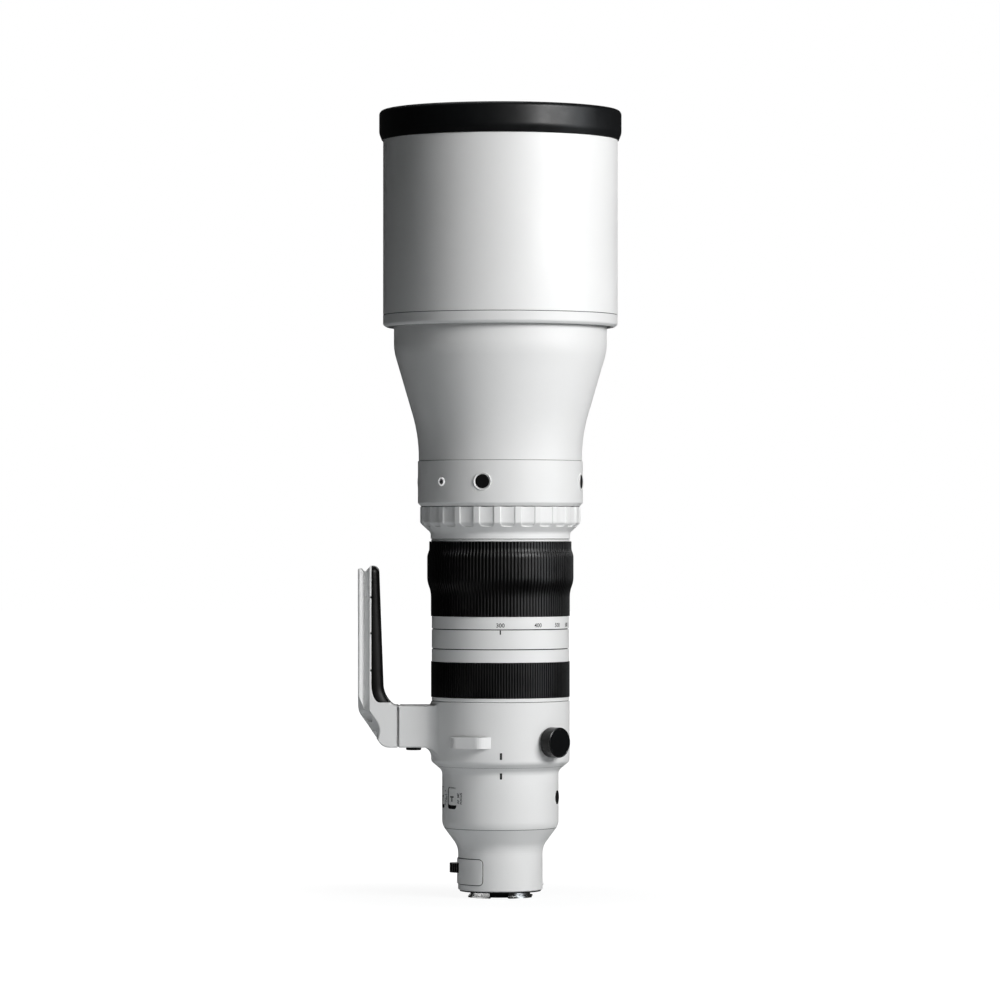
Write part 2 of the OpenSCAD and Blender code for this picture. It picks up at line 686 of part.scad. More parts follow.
// A cell is a ring that slides in the guide tube and holds its glass in a stepped bore
module cell(z, length, bore, lip, at_deg) difference() {
    ring(bore, cell_r, z - length / 2, z + length / 2);
    ring(cell_r - 1.5, cell_r + 1, z - length / 2 + 1.2, z - roller_r - 0.6);
    ring(cell_r - 1.5, cell_r + 1, z + roller_r + 0.6, z + length / 2 - 1.2);
    ring(bore - 1, bore + lip, z - length / 2 + 1.5, z + length / 2 + 1);
    for (i = [0:2]) rotate([0, 0, at_deg + 120 * i]) translate([0, 0, z]) peg(1.25, bore, cell_r + 1);
}

module rollers(z, at_deg) for (i = [0:2]) rotate([0, 0, at_deg + 120 * i]) translate([0, 0, z]) difference() {
    union() {
        peg(roller_r, cell_r + 0.1, cam_ro - 0.2);
        peg(1.2, cell_r - 2.5, cell_r + 0.2);
    }
    translate([cam_ro - 0.9, -0.3, -1.6]) cube([2, 0.6, 3.2]);
}

rear_glass_r = 24;
rear_cell_len = 38;
variator_bore = 33;
compensator_bore = 31;
cell_lip = 2;

module variator_cell() color("gray") cell(z_var, variator_len, variator_bore, cell_lip, variator_at);
module variator_rollers() color("goldenrod") rollers(z_var, variator_at);
module variator_elements() color(glass) {
    r = variator_bore + cell_lip - fit;
    z = z_var - variator_len / 2 + 1.5;
    translate([0, 0, z]) element(r, variator_bore, 6, -4.2, -0.8);
    translate([0, 0, z + 12.2]) element(r, variator_bore, 6, 1.2, -4.4);
}

module compensator_cell() color("gray")
    cell(z_comp, compensator_len, compensator_bore, cell_lip, compensator_at);
module compensator_rollers() color("goldenrod") rollers(z_comp, compensator_at);
module compensator_elements() color(glass)
    translate([0, 0, z_comp - compensator_len / 2 + 1.5])
        element(compensator_bore + cell_lip - fit, compensator_bore, 6, 3, 1.5);

// Iris: a housing with its blades drawn back, each a little higher than the last
module iris_housing() color("dimgray") difference() {
    clear = blade_r - blade_w / 2 - 3;
    pocket = blade_r + blade_w / 2 + 2;
    turned([[clear, z_iris], [main_ri, z_iris], [main_ri, z_iris + iris_len], [pocket + 2, z_iris + iris_len],
            [pocket + 2, z_iris + 10], [clear, z_iris + 10], [clear, z_iris + 8.5], [pocket, z_iris + 8.5],
            [pocket, z_iris + 3], [clear, z_iris + 3]]);
    for (a = [0, 120, 240]) rotate([0, 0, a]) translate([rail_at_r, 0, z_iris - eps])
        cylinder(r = rail_r, h = 3 + eps);
}

module iris_blades() color("black")
    for (i = [0:blades - 1]) rotate([0, 0, i * 360 / blades]) translate([0, 0, z_iris + 3.4 + 0.4 * i])
        union() {
            rotate_extrude(angle = 52) translate([blade_r - blade_w / 2, 0]) square([blade_w, 0.25]);
            for (a = [0, 52]) rotate([0, 0, a]) translate([blade_r, 0, 0])
                cylinder(r = blade_w / 2, h = 0.25);
            translate([blade_r, 0, 0]) cylinder(r = 0.8, h = 0.35);
        }

// Focus group on its three rails, with the motor's magnets between them
module focus_rails() color("silver") {
    for (a = [0, 120, 240]) rotate([0, 0, a]) translate([rail_at_r, 0, z_main])
        cylinder(r = rail_r, h = z_iris + 3 - z_main);
    for (a = [60, 180]) rotate([0, 0, a])
        translate([main_ri - 5.2, -7, z_main + main_flange_t])
            cube([4.4, 14, z_iris - z_main - main_flange_t]);
}

module focus_cell() color("gray") difference() {
    union() {
        ring(27, 33, z_focus_cell, z_focus_cell + focus_cell_len);
        ring(32, 40, z_focus_cell + 5, z_focus_cell + 8);
        for (a = [0, 120, 240]) rotate([0, 0, a]) {
            translate([38, -3.5, z_focus_cell]) cube([rail_at_r - 38, 7, focus_cell_len]);
            translate([rail_at_r, 0, z_focus_cell]) cylinder(r = rail_r + 1.4, h = focus_cell_len);
        }
    }
    ring(26, 29.5, z_focus_cell + 2, z_focus_cell + focus_cell_len + 1);
    for (a = [0, 120, 240]) rotate([0, 0, a]) translate([rail_at_r, 0, z_focus_cell - 1])
        cylinder(r = rail_r + fit, h = focus_cell_len + 2);
}

module focus_elements() color(glass) {
    translate([0, 0, z_focus_cell + 2]) element(29.45, 27, 5, -1.5, 2.2);
    translate([0, 0, z_focus_cell + 8.5]) element(29.45, 27, 4, 2.4, -1.2);
}

// Rear group

module rear_cell() color("dimgray") {
    flange = rear_r - shell_wall - 0.4;
    turned([[rear_glass_r - 1.5, z_shelf], [flange, z_shelf], [flange, z_shelf + 2.5],
            [rear_glass_r + 3, z_shelf + 2.5], [rear_glass_r + 3, z_shelf + rear_cell_len],
            [rear_glass_r + fit, z_shelf + rear_cell_len], [rear_glass_r + fit, z_shelf + 1.5],
            [rear_glass_r - 1.5, z_shelf + 1.5]]);
}

module rear_elements() color(glass) {
    translate([0, 0, z_shelf + 1.5]) element(rear_glass_r, rear_glass_r - 2, 6, 2.6, 1);
    translate([0, 0, z_shelf + 16]) element(rear_glass_r, rear_glass_r - 2, 4, -1.8, 1.8);
    translate([0, 0, z_shelf + rear_cell_len - 8]) element(rear_glass_r, rear_glass_r - 2, 6, 1.2, 2);
}

module circuit_board() color("darkgreen") {
    z = z_main - 5.2;
    ring(30, switch_ri - 0.5, z, z + 1.6);
    for (a = [30, 150, 270]) rotate([0, 0, a]) translate([40.3, 0, z]) cylinder(r = 1.6, h = z_main - z);
    for (i = [0:7]) rotate([0, 0, 45 * i + 12]) translate([33, -3.5 + (i % 2), z - 1.4])
        cube([7, 7 - 2 * (i % 2), 1.4]);
}

// Rings that turn by hand

module focus_sleeve() color(white) turned([
    [sleeve_ri, z_focus + seam / 2], [ring_r - 0.5, z_focus + seam / 2], [ring_r, z_focus + seam / 2 + 0.5],
    [ring_r, z_focus_grip], [focus_seat_r, z_focus_grip],
    [focus_seat_r, z_focus_grip + focus_grip_len], [ring_r, z_focus_grip + focus_grip_len],
    [ring_r, z_index - seam / 2 - 0.3], [ring_r - 0.3, z_index - seam / 2], [sleeve_ri, z_index - seam / 2]]);

module focus_rubber() color(black) {
    pitch = 360 / focus_ribs;
    difference() {
        translate([0, 0, z_focus_grip]) linear_extrude(height = focus_grip_len)
            polygon([for (i = [0:focus_ribs - 1],
                          c = [[0, 0], [0, 1 - groove_share], [1, 1 - groove_share], [1, 1]])
                let (r = focus_grip_r - c[0] * rib_depth, a = (i + c[1]) * pitch) r * [cos(a), sin(a)]]);
        translate([0, 0, z_focus_grip - 1])
            cylinder(r = focus_seat_r, h = focus_grip_len + 2, $fn = 2 * focus_ribs);
    }
}

// Outline of the zoom grip, sunk by d: flat, swelling to the bulge, and falling to the front
function zoom_grip(d) = [
    [ring_r + zoom_grip_rear - d, z_zoom_grip],
    [ring_r + zoom_grip_rear - d, z_zoom_grip + 18.7],
    [ring_r + zoom_grip_bulge - d, z_zoom_grip + 27.2],
    [ring_r + zoom_grip_bulge - d, z_zoom_grip + 47.8],
    [ring_r + zoom_grip_front - d, z_zoom_grip + 51.7],
    [ring_r + zoom_grip_front - d, z_preset - zoom_lip]];

module zoom_sleeve() color(white) turned(concat(
    [[sleeve_ri, z_zoom + seam / 2], [ring_r - 0.3, z_zoom + seam / 2], [ring_r, z_zoom + seam / 2 + 0.3],
     [ring_r, z_zoom_grip]],
    zoom_grip(rubber_t),
    [[zoom_lip_r, z_preset - zoom_lip], [zoom_lip_r, z_preset - seam / 2 - 0.3],
     [zoom_lip_r - 0.3, z_preset - seam / 2], [sleeve_ri, z_preset - seam / 2]]));

// The ribs follow the bulge: every groove is as deep all along
module zoom_rubber() color(black) {
    pitch = 360 / zoom_ribs;
    difference() {
        turned(concat(zoom_grip(0), reversed(zoom_grip(rubber_t))));
        for (i = [0:zoom_ribs - 1]) rotate([0, 0, i * pitch])
            rotate_extrude(angle = pitch * groove_share)
                polygon(concat(
                    [[ring_r + zoom_grip_rear - rib_depth, z_zoom_grip - 1]],
                    [for (k = [1:4]) zoom_grip(rib_depth)[k]],
                    [[ring_r + zoom_grip_front - rib_depth, z_preset - zoom_lip + 1],
                     [ring_r + zoom_grip_bulge + 3, z_preset - zoom_lip + 1],
                     [ring_r + zoom_grip_bulge + 3, z_zoom_grip - 1]]));
    }
}

module preset_ring() color(white) difference() {
    turned(concat(
        [[preset_neck_r - 0.4, z_preset + seam / 2], [preset_neck_r, z_preset + seam / 2 + 0.4]],
        preset_outer,
        [[preset_r, z_band - seam - 0.6], [preset_r - 0.6, z_band - seam],
         [preset_r - preset_wall, z_band - seam]],
        reversed(preset_inner),
        [[sleeve_ri, z_preset + seam / 2]]));
    for (i = [0:scallops - 1]) at(5.2 + i * 360 / scallops)
        translate([preset_r - scallop_depth + scallop_r, 0, z_preset + preset_shoulder_rise + 3])
            cylinder(r = scallop_r, h = preset_len, $fn = 64);
}

// Tripod collar

// Plan of the arm, with fillets into the collar
module arm_plan() {
    c = [sqrt(pow(collar_r + arm_fillet, 2) - pow(arm_half + arm_fillet, 2)), arm_half + arm_fillet];
    t = c * collar_r / (collar_r + arm_fillet);
    translate([0, -arm_half]) square([arm_reach, 2 * arm_half]);
    for (s = [-1, 1]) scale([1, s]) difference() {
        polygon([[0, 0], [c[0], 0], c, t]);
        translate(c) circle(r = arm_fillet);
    }
}

// Fillet round the collar under or over the arm
module arm_skirt(f, up) intersection() {
    z = up ? z_arm + arm_h : z_arm;
    rotate([0, 0, -32]) rotate_extrude(angle = 64) difference() {
        translate([collar_r - 1.5, up ? z - eps : z - f]) square([f + 1.5, f + eps]);
        translate([collar_r + f, up ? z + f : z - f]) circle(r = f);
    }
    translate([0, 0, z - 20]) linear_extrude(height = 40) arm_plan();
}

module collar() color(white) difference() {
    union() {
        turned(concat(
            [[collar_r - 7, z_collar + seam / 2]],
            above(collar_shoulder, z_collar + seam / 2),
            [[collar_r, z_focus - seam / 2 - 0.5], [collar_r - 0.5, z_focus - seam / 2],
             [collar_r - 7, z_focus - seam / 2]]));
        foot_side() {
            difference() {
                translate([0, 0, z_arm]) linear_extrude(height = arm_h) arm_plan();
                for (sy = [-1, 1], sz = [0, 1]) arm_edge_cut(sy, sz);
                for (sy = [-1, 1]) translate([arm_reach, sy * arm_half, z_arm - 1]) rotate([0, 0, 45])
                    cube([1.4, 1.4, 2 * arm_h], center = true);
                for (z = [z_arm, z_arm + arm_h]) translate([arm_reach, 0, z]) rotate([0, 45, 0])
                    cube([1.2, 2 * arm_half + 2, 1.2], center = true);
            }
            arm_skirt(arm_skirt_r, false);
            arm_skirt(3, true);
        }
        at(knob_at) translate([0, 0, knob_z]) peg(knob_r - 2.2, collar_r - 3, collar_r + 0.3);
    }
    translate([0, 0, z_collar - eps]) cylinder(r = neck_r + run_gap, h = collar_len + 1);
    translate([0, 0, z_main - 0.25]) cylinder(r = collar_ri, h = collar_len + 1);
    foot_side() {
        for (p = foot_screw_at) translate([0, p[0], z_arm + p[1]]) peg(2.5, arm_reach - 12, arm_reach + 1);
        translate([click_x, 0, z_arm - arm_skirt_r - 1]) cylinder(r = click_r + 2 * fit, h = arm_skirt_r + 8);
    }
    at(knob_at) translate([0, 0, knob_z]) peg(knob_shank_r + fit, collar_ri - 2, collar_r + 3);
}

module arm_edge_cut(sy, sz)
    translate([sqrt(pow(collar_r + arm_fillet, 2) - pow(arm_half + arm_fillet, 2)), sy * arm_half,
               z_arm + sz * arm_h])
        rotate([90, 0, 90]) linear_extrude(height = 60) difference() {
            square(2 * arm_edge, center = true);
            translate([-sy * arm_edge, (1 - 2 * sz) * arm_edge]) circle(r = arm_edge);
        }

// Side view of the foot: joint face, belly, slanted heel, rail with its V at the tip, and the
// hollow back that the pad fills
function foot_outline() = concat(
    rounded([
        [arm_reach + 0.3, z_arm + arm_h, 1], [arm_reach + 0.3, z_arm, 1], [heel_x, z_arm, 5],
        [foot_reach - 0.6, z_arm + 27.4, 2.4], [foot_reach, z_arm + 31, 0]]),
    [[foot_reach, foot_tip - 2.1], [foot_reach - dovetail_t, foot_tip - 2.1],
     [foot_reach - dovetail_t - groove_depth, foot_tip - 2.1 - groove_depth],
     [foot_reach - dovetail_t - 2 * groove_depth - 2.1, foot_tip], [pad_back, foot_tip]],
    pad_back_curve(),
    [[arm_reach + 6.9, pad_end[1]], [arm_reach + 5, z_arm + arm_h + 1], [arm_reach + 3.4, z_arm + arm_h]]);

function pad_back_curve() = [for (i = [0:6]) let (t = 15 * i)
    [pad_back - (pad_back - pad_end[0]) * (1 - cos(t)), pad_bend_z - (pad_bend_z - pad_end[1]) * sin(t)]];

module foot_slab(half, pts) translate([0, half, 0]) rotate([90, 0, 0]) linear_extrude(height = 2 * half)
    polygon(pts);

module tripod_foot() color(white) foot_side() difference() {
    foot_slab(arm_half, foot_outline());
    // V grooves of the dovetail, which run out on a slant above the heel
    for (s = [-1, 1]) intersection() {
        translate([0, 0, z_arm]) linear_extrude(height = foot_len + 10) polygon([
            [foot_reach + 1, s * dovetail_half], [foot_reach - dovetail_t, s * dovetail_half],
            [foot_reach - dovetail_t - groove_depth, s * (dovetail_half - groove_depth)],
            [foot_reach - dovetail_t - 2 * groove_depth - 2.4, s * (arm_half + 0.3)],
            [foot_reach - dovetail_t - 2 * groove_depth - 2.4, s * (arm_half + 2)],
            [foot_reach + 1, s * (arm_half + 2)]]);
        foot_slab(arm_half + 3, [[foot_reach + 3, z_arm + 34], [foot_reach - 14, z_arm + 55.4],
                                 [foot_reach - 14, foot_tip + 9], [foot_reach + 3, foot_tip + 9]]);
    }
    // chamfers along the slanted heel
    heel = [foot_reach - 0.6 - heel_x, 27.4];
    for (s = [-1, 1]) translate([heel_x, 0, z_arm]) rotate([0, atan2(heel[0], heel[1]), 0])
        translate([0, 0, -15]) linear_extrude(height = norm(heel) + 30) polygon([
            [3, s * (arm_half - heel_chamfer - 3)], [3, s * (arm_half + 3)],
            [-heel_chamfer - 3, s * (arm_half + 3)]]);
    for (p = foot_screw_at) translate([0, p[0], z_arm + p[1]]) {
        peg(2.6, arm_reach - 1, foot_screw_x + 1);
        peg(4.6, foot_screw_x, foot_reach + 1);
    }
    translate([0, 0, z_arm + 67]) peg(3.97, foot_reach - 8.5, foot_reach + 1);
    translate([0, 0, z_arm + 92]) peg(2.555, foot_reach - 8, foot_reach + 1);
    for (z = [60.3, 89.3, 117.4], s = [-1, 1]) translate([pad_back, s * arm_half, z_arm + z])
        rotate([90, 0, 0]) cylinder(r = 0.9, h = 3, center = true, $fn = 24);
}

// The pad is lofted through stations [back x, back z, front x, front z], from tip to heel
function pad_stations() = concat(
    [[pad_back, foot_tip, pad_back - 2, foot_tip],
     [pad_back, foot_tip - 0.7, pad_back - 3.7, foot_tip - 0.7],
     [pad_back, foot_tip - 2.4, pad_back - 5, foot_tip - 2.4],
     [pad_back, foot_tip - 5, pad_back - 5.25, foot_tip - 5]],
    [for (i = [0:6]) let (t = 15 * i, b = pad_back_curve()[i], f = 43.6 * i / 6, r = 20.3)
        [b[0], b[1], pad_back - 8.4 - r * (1 - cos(f)), pad_bend_z - r * sin(f)]]);

// Section of the pad: square on the foot, round towards the hand
function pad_section(s, n = 4) =
    let (d = [s[2] - s[0], s[3] - s[1]], t = norm(d), r = min(4, t - 0.4))
    [for (q = concat([[0, -arm_half]],
                     [for (i = [0:n]) [t - r + r * sin(90 * i / n), -arm_half + r - r * cos(90 * i / n)]],
                     [for (i = [0:n]) [t - r + r * cos(90 * i / n), arm_half - r + r * sin(90 * i / n)]],
                     [[0, arm_half]]))
        [s[0] + q[0] * d[0] / t, q[1], s[1] + q[0] * d[1] / t]];

module grip_pad() color(black) foot_side() {
    rows = [for (s = pad_stations()) pad_section(s)];
    n = len(rows[0]);
    m = len(rows);
    polyhedron(
        points = [for (row = rows) each row],
        faces = concat(
            [[for (i = [n - 1:-1:0]) i]],
            [for (j = [0:m - 2], i = [0:n - 1]) [j * n + i, j * n + (i + 1) % n, (j + 1) * n + (i + 1) % n]],
            [for (j = [0:m - 2], i = [0:n - 1]) [j * n + i, (j + 1) * n + (i + 1) % n, (j + 1) * n + i]],
            [[for (i = [0:n - 1]) (m - 1) * n + i]]));
}

module foot_screws() color("dimgray") foot_side()
    for (p = foot_screw_at) translate([0, p[0], z_arm + p[1]]) difference() {
        union() {
            peg(2.45, arm_reach - 11, foot_screw_x + 1);
            peg(4.25, foot_screw_x, foot_screw_x + 4.8);
        }
        translate([foot_screw_x + 2.3, 0, 0]) rotate([0, 90, 0]) cylinder(r = 2.3, h = 4, $fn = 6);
    }

// A lug is a bent strap whose feet stand on the collar
module strap_lugs() color(white) for (a = lug_at) at(a) translate([0, 0, knob_z - lug_h / 2]) {
    end = [collar_r - 2.8, lug_flat + 4.95];
    outer = [[end[0] - 3, -end[1] - 1.2, 0], [end[0], -end[1] - 0.6, 1], [lug_reach, -lug_flat, 4],
             [lug_reach, lug_flat, 4], [end[0], end[1] + 0.6, 1], [end[0] - 3, end[1] + 1.2, 0]];
    inner = [[end[0] - 4, -end[1] + 2.2, 0], [end[0], -end[1] + 2, 0],
             [lug_reach - lug_t, -lug_flat + 1.4, 3],
             [lug_reach - lug_t, lug_flat - 1.4, 3], [end[0], end[1] - 2, 0], [end[0] - 4, end[1] - 2.2, 0]];
    difference() {
        linear_extrude(height = lug_h) polygon(rounded(outer));
        translate([0, 0, -1]) linear_extrude(height = lug_h + 2) polygon(rounded(inner));
        translate([0, 0, -1]) rotate([0, 0, 90 - a]) cylinder(r = collar_r, h = lug_h + 2);
    }
}

module collar_knob() color(black) at(knob_at) translate([0, 0, knob_z]) difference() {
    union() {
        peg(knob_r, collar_r + 0.7, collar_r + knob_h);
        translate([collar_r + knob_h, 0, 0]) rotate([0, 90, 0])
            cylinder(r1 = knob_r, r2 = knob_r - 0.7, h = 0.7);
        peg(knob_shank_r, collar_ri + 0.5, collar_r + 1.5);
    }
    peg(knob_r - 1.6, collar_r + knob_h + 0.3, collar_r + knob_h + 2);
}

module click_button() color(black) foot_side() translate([click_x, 0, z_arm - 2.7]) {
    cylinder(r1 = click_r - 0.6, r2 = click_r, h = 0.6);
    translate([0, 0, 0.6]) cylinder(r = click_r, h = 6.6);
}

// Hood

module hood_base() color(white) difference() {
    turned([[hood_bore_r, z_hood], [hood_r - 4.2, z_hood], [hood_r, z_hood + 2.8],
            [hood_r, z_hood_tube - 0.4],
            [hood_r - 0.4, z_hood_tube], [hood_ri - fit, z_hood_tube], [hood_ri - fit, z_mouth + 7],
            [hood_ri - 2, z_mouth + 7], [front_r - 2, z_mouth + 3.25], [front_r - 2, z_mouth + 0.25],
            [hood_bore_r, z_mouth + 0.25]]);
    at(180) translate([0, 0, hood_knob_z]) peg(knob_shank_r + fit, hood_bore_r - 5, hood_r + 2);
}

module hood_tube() color(white) difference() {
    turned([[hood_ri, z_hood_tube], [hood_r - 0.4, z_hood_tube], [hood_r, z_hood_tube + 0.4],
            [hood_r, z_rim], [hood_r - 0.6, z_rim], [hood_r - 0.6, z_rim + rim_h / 2],
            [hood_ri, z_rim + rim_h / 2]]);
    at(180) translate([0, 0, hood_knob_z]) peg(knob_shank_r + fit, hood_ri - 5, hood_r + 2);
}

module hood_rim() color(black) turned([
    [hood_r - 0.6 + fit, z_rim], [hood_r + 1, z_rim], [hood_r + rim_proud, z_rim + 5.5],
    [hood_r + rim_proud, z_rim + rim_h - 2], [hood_r + rim_proud - 0.6, z_rim + rim_h - 0.6],
    [hood_r + rim_proud - 2, z_rim + rim_h], [hood_ri + 0.6, z_rim + rim_h], [hood_ri, z_rim + rim_h - 0.6],
    [hood_ri, z_rim + rim_h / 2 + fit], [hood_r - 0.6 + fit, z_rim + rim_h / 2 + fit]]);

module hood_knob() color(black) at(180) translate([0, 0, hood_knob_z]) difference() {
    union() {
        peg(knob_shank_r, hood_bore_r + 0.2, hood_r + 1);
        peg(hood_knob_r, hood_r + 0.5, hood_r + 7);
        translate([hood_r + 7, 0, 0]) rotate([0, 90, 0])
            cylinder(r1 = hood_knob_r, r2 = hood_knob_r - 0.6, h = 0.6);
    }
    for (i = [0:11]) rotate([30 * i, 0, 0]) translate([0, 0, hood_knob_r + 0.4])
        peg(0.9, hood_r + 2, hood_r + 8);
}

// Buttons and switches

// A button is a plunger trapped by the flange behind its panel
module button(r, wall_ri, face) {
    peg(r, wall_ri - 0.7, face);
    peg(r + 1, wall_ri - 1.6, wall_ri - 0.6);
}

module focus_button(i) color(black) at(focus_button_at[i]) translate([0, 0, z_button])
    button(button_r, band_ri, band_r + 0.3);

module function_button() color(black) at(function_at) translate([0, 0, z_function])
    button(button_r, switch_ri - 0.3, switch_r + 0.4);

// A switch is a slider that follows the barrel's curve, on a carrier behind the window
module slide_switch(i) color(white) at(switch_at[i]) {
    half_w = window_w / 2 - slider_gap;
    z_slider = z_window + window_h - slider_gap - slider_h;
    intersection() {
        ring(switch_ri - 0.8, switch_r - 0.1, z_slider, z_slider + slider_h);
        translate([30, -half_w, z_slider - 1]) cube([20, 2 * half_w, slider_h + 2]);
    }
    intersection() {
        ring(switch_ri - 1.6, switch_ri - 0.3, z_slider - 4, z_slider + slider_h + 1.5);
        translate([30, -half_w - 1, z_slider - 5]) cube([20, 2 * half_w + 2, slider_h + 8]);
    }
}

// Filter drawer, in the foot side's frame

// A patch of the barrel's surface, grown by g, whose corners are cut round
module cover_shape(ri, ro, g) {
    half = cover_half_deg + g * 180 / PI / rear_r;
    difference() {
        sector(ri, ro, cover_z - g, cover_z + cover_h + g, -half, half);
        for (s = [-1, 1], t = [-1, 1]) rotate([0, 0, s * half]) rotate([90, 0, 90])
            translate([0, cover_z + cover_h / 2 + t * (cover_h / 2 + g), ri - 2])
                linear_extrude(height = ro - ri + 4)
                    polygon([for (p = corner_cut(cover_corner + g)) [s * p[0], t * p[1]]]);
    }
}

// What is cut from a square corner at the origin to round it, past both of its sides
function corner_cut(r) =
    let (b = bend([-r, 0], [0, 0], [0, -r], r))
    concat([b[0] * 2 - b[1]], [for (i = [1:len(b) - 2]) b[i]], [b[len(b) - 1] * 2 - b[len(b) - 2], [1, 1]]);

module tray_plan() intersection() {
    union() {
        circle(r = tray_r);
        translate([0, -tray_r]) square([cover_ro, 2 * tray_r]);
    }
    circle(r = cover_ri + 0.3);
}

module filter_drawer() color(white) foot_side() {
    difference() {
        union() {
            cover_shape(cover_ri, cover_ro, 0);
            translate([0, 0, tray_z]) linear_extrude(height = tray_top - tray_z) tray_plan();
        }
        translate([0, 0, wheel_z - wheel_slack]) cylinder(r = ring_cavity_r, h = wheel_h + 2 * wheel_slack);
        translate([wheel_x, 0, wheel_z - wheel_slack])
            cylinder(r = wheel_cavity_r, h = wheel_h + 2 * wheel_slack);
        translate([0, 0, tray_z - 1]) cylinder(r = filter_hub_r + fit, h = 5);
        translate([0, 0, tray_top - 5]) cylinder(r = filter_r, h = 6);
    }
    translate([wheel_x, 0, tray_z]) cylinder(r = axle_r, h = tray_top - tray_z);
}

module filter_wheel() color(black) foot_side() translate([wheel_x, 0, wheel_z]) difference() {
    linear_extrude(height = wheel_h) polygon(gear(wheel_teeth, 180 / wheel_teeth + 180));
    translate([0, 0, -1]) cylinder(r = axle_r + fit, h = wheel_h + 2);
}

module filter_ring() color("dimgray") foot_side() difference() {
    union() {
        translate([0, 0, wheel_z]) linear_extrude(height = wheel_h - 0.6) polygon(gear(ring_teeth, 0));
        translate([0, 0, tray_z + 0.4]) cylinder(r = filter_hub_r, h = wheel_z - tray_z);
    }
    translate([0, 0, tray_z - 1]) cylinder(r = filter_clear_r, h = 20);
    translate([0, 0, wheel_z + 1.5]) cylinder(r = filter_r + fit, h = 2.5);
}

module filter_glass() color(glass) translate([0, 0, wheel_z + 1.5]) cylinder(r = filter_r, h = 2.5);

bayonet_mount();
bayonet_screws();
mount_seal();
contact_block();
contact_pins();
rear_barrel();
switch_barrel();
main_barrel();
index_band();
button_band();
front_barrel();
front_retaining_ring();
front_element();
second_element();
guide_tube();
iris_housing();
iris_blades();
rear_cell();
rear_elements();
circuit_board();
focus_rails();
zoom_sleeve();
zoom_rubber();
cam_tube();
zoom_key();
focus_sleeve();
focus_rubber();
preset_ring();
variator_cell();
variator_elements();
variator_rollers();
compensator_cell();
compensator_elements();
compensator_rollers();
focus_cell();
focus_elements();
collar();
tripod_foot();
foot_screws();
grip_pad();
strap_lugs();
collar_knob();
click_button();
hood_tube();
hood_base();
hood_rim();
hood_knob();
focus_button(0);  // focus_button_1
focus_button(1);  // focus_button_2
focus_button(2);  // focus_button_3
focus_button(3);  // focus_button_4
function_button();
slide_switch(0);  // switch_1
slide_switch(1);  // switch_2
slide_switch(2);  // switch_3
slide_switch(3);  // switch_4
filter_drawer();
filter_glass();
filter_wheel();
filter_ring();
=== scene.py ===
import math

import bpy
import bmesh
import numpy as np
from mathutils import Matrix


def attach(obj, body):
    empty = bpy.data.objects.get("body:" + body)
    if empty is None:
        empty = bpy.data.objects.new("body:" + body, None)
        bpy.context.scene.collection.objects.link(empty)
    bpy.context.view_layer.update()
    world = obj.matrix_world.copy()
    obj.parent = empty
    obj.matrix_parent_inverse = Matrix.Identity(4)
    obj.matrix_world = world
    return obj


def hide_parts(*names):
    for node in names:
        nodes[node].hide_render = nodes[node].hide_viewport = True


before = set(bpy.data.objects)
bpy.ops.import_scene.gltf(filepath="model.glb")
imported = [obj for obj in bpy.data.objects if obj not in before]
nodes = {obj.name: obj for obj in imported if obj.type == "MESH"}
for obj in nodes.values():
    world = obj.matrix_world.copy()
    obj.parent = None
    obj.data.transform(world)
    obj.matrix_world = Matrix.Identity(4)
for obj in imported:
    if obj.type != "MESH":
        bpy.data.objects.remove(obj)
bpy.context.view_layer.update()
scene = bpy.context.scene
mm = 0.001                                  # all sizes below are in millimetres
print("frame loaded,", len(nodes), "CAD nodes")


class Graph:
    # Short hand for making shader nodes and joining them in one tree
    def __init__(self, tree):
        self.tree = tree

    def join(self, value, socket):
        # A socket is linked, a plain value is set
        if isinstance(value, bpy.types.NodeSocket):
            self.tree.links.new(value, socket)
        else:
            socket.default_value = value

    def node(self, kind, inputs=None, **settings):
        made = self.tree.nodes.new(kind)
        for key, value in settings.items():
            setattr(made, key, value)
        for key, value in (inputs or {}).items():
            self.join(value, made.inputs[key])
        return made

    def math(self, operation, a, b=0.0):
        return self.node("ShaderNodeMath", {0: a, 1: b}, operation=operation).outputs[0]

    def ramp(self, value, low, high, toLow=0.0, toHigh=1.0, smooth=True):
        return self.node("ShaderNodeMapRange", {"Value": value, "From Min": low, "From Max": high,
                                                "To Min": toLow, "To Max": toHigh},
                         interpolation_type="SMOOTHSTEP" if smooth else "LINEAR").outputs["Result"]

    def noise(self, vector, size, detail=2.0, rough=0.5):
        return self.node("ShaderNodeTexNoise", {"Vector": vector, "Scale": size, "Detail": detail,
                                                "Roughness": rough}).outputs["Fac"]

    def blend(self, factor, first, second):
        return self.node("ShaderNodeMix", {0: factor, 6: first, 7: second}, data_type="RGBA").outputs[2]


# Camera and stage

cameraSet = dict(distance=3940, side=-0.27, height=282, aimHeight=306.4, lens=180.8)
cameraData = bpy.data.cameras.new("lensCamera")
cameraData.lens = cameraSet["lens"]
cameraData.sensor_width = 36
cameraData.clip_end = 60
camera = bpy.data.objects.new("lensCamera", cameraData)
camera.location = (cameraSet["side"] * mm, -cameraSet["distance"] * mm, cameraSet["height"] * mm)
camera.rotation_euler = (math.pi / 2 + math.atan2(cameraSet["aimHeight"] - cameraSet["height"],
                                                  cameraSet["distance"]), 0, 0)
scene.collection.objects.link(camera)
scene.camera = camera
scene.view_settings.view_transform = "Standard"
scene.view_settings.look = "None"

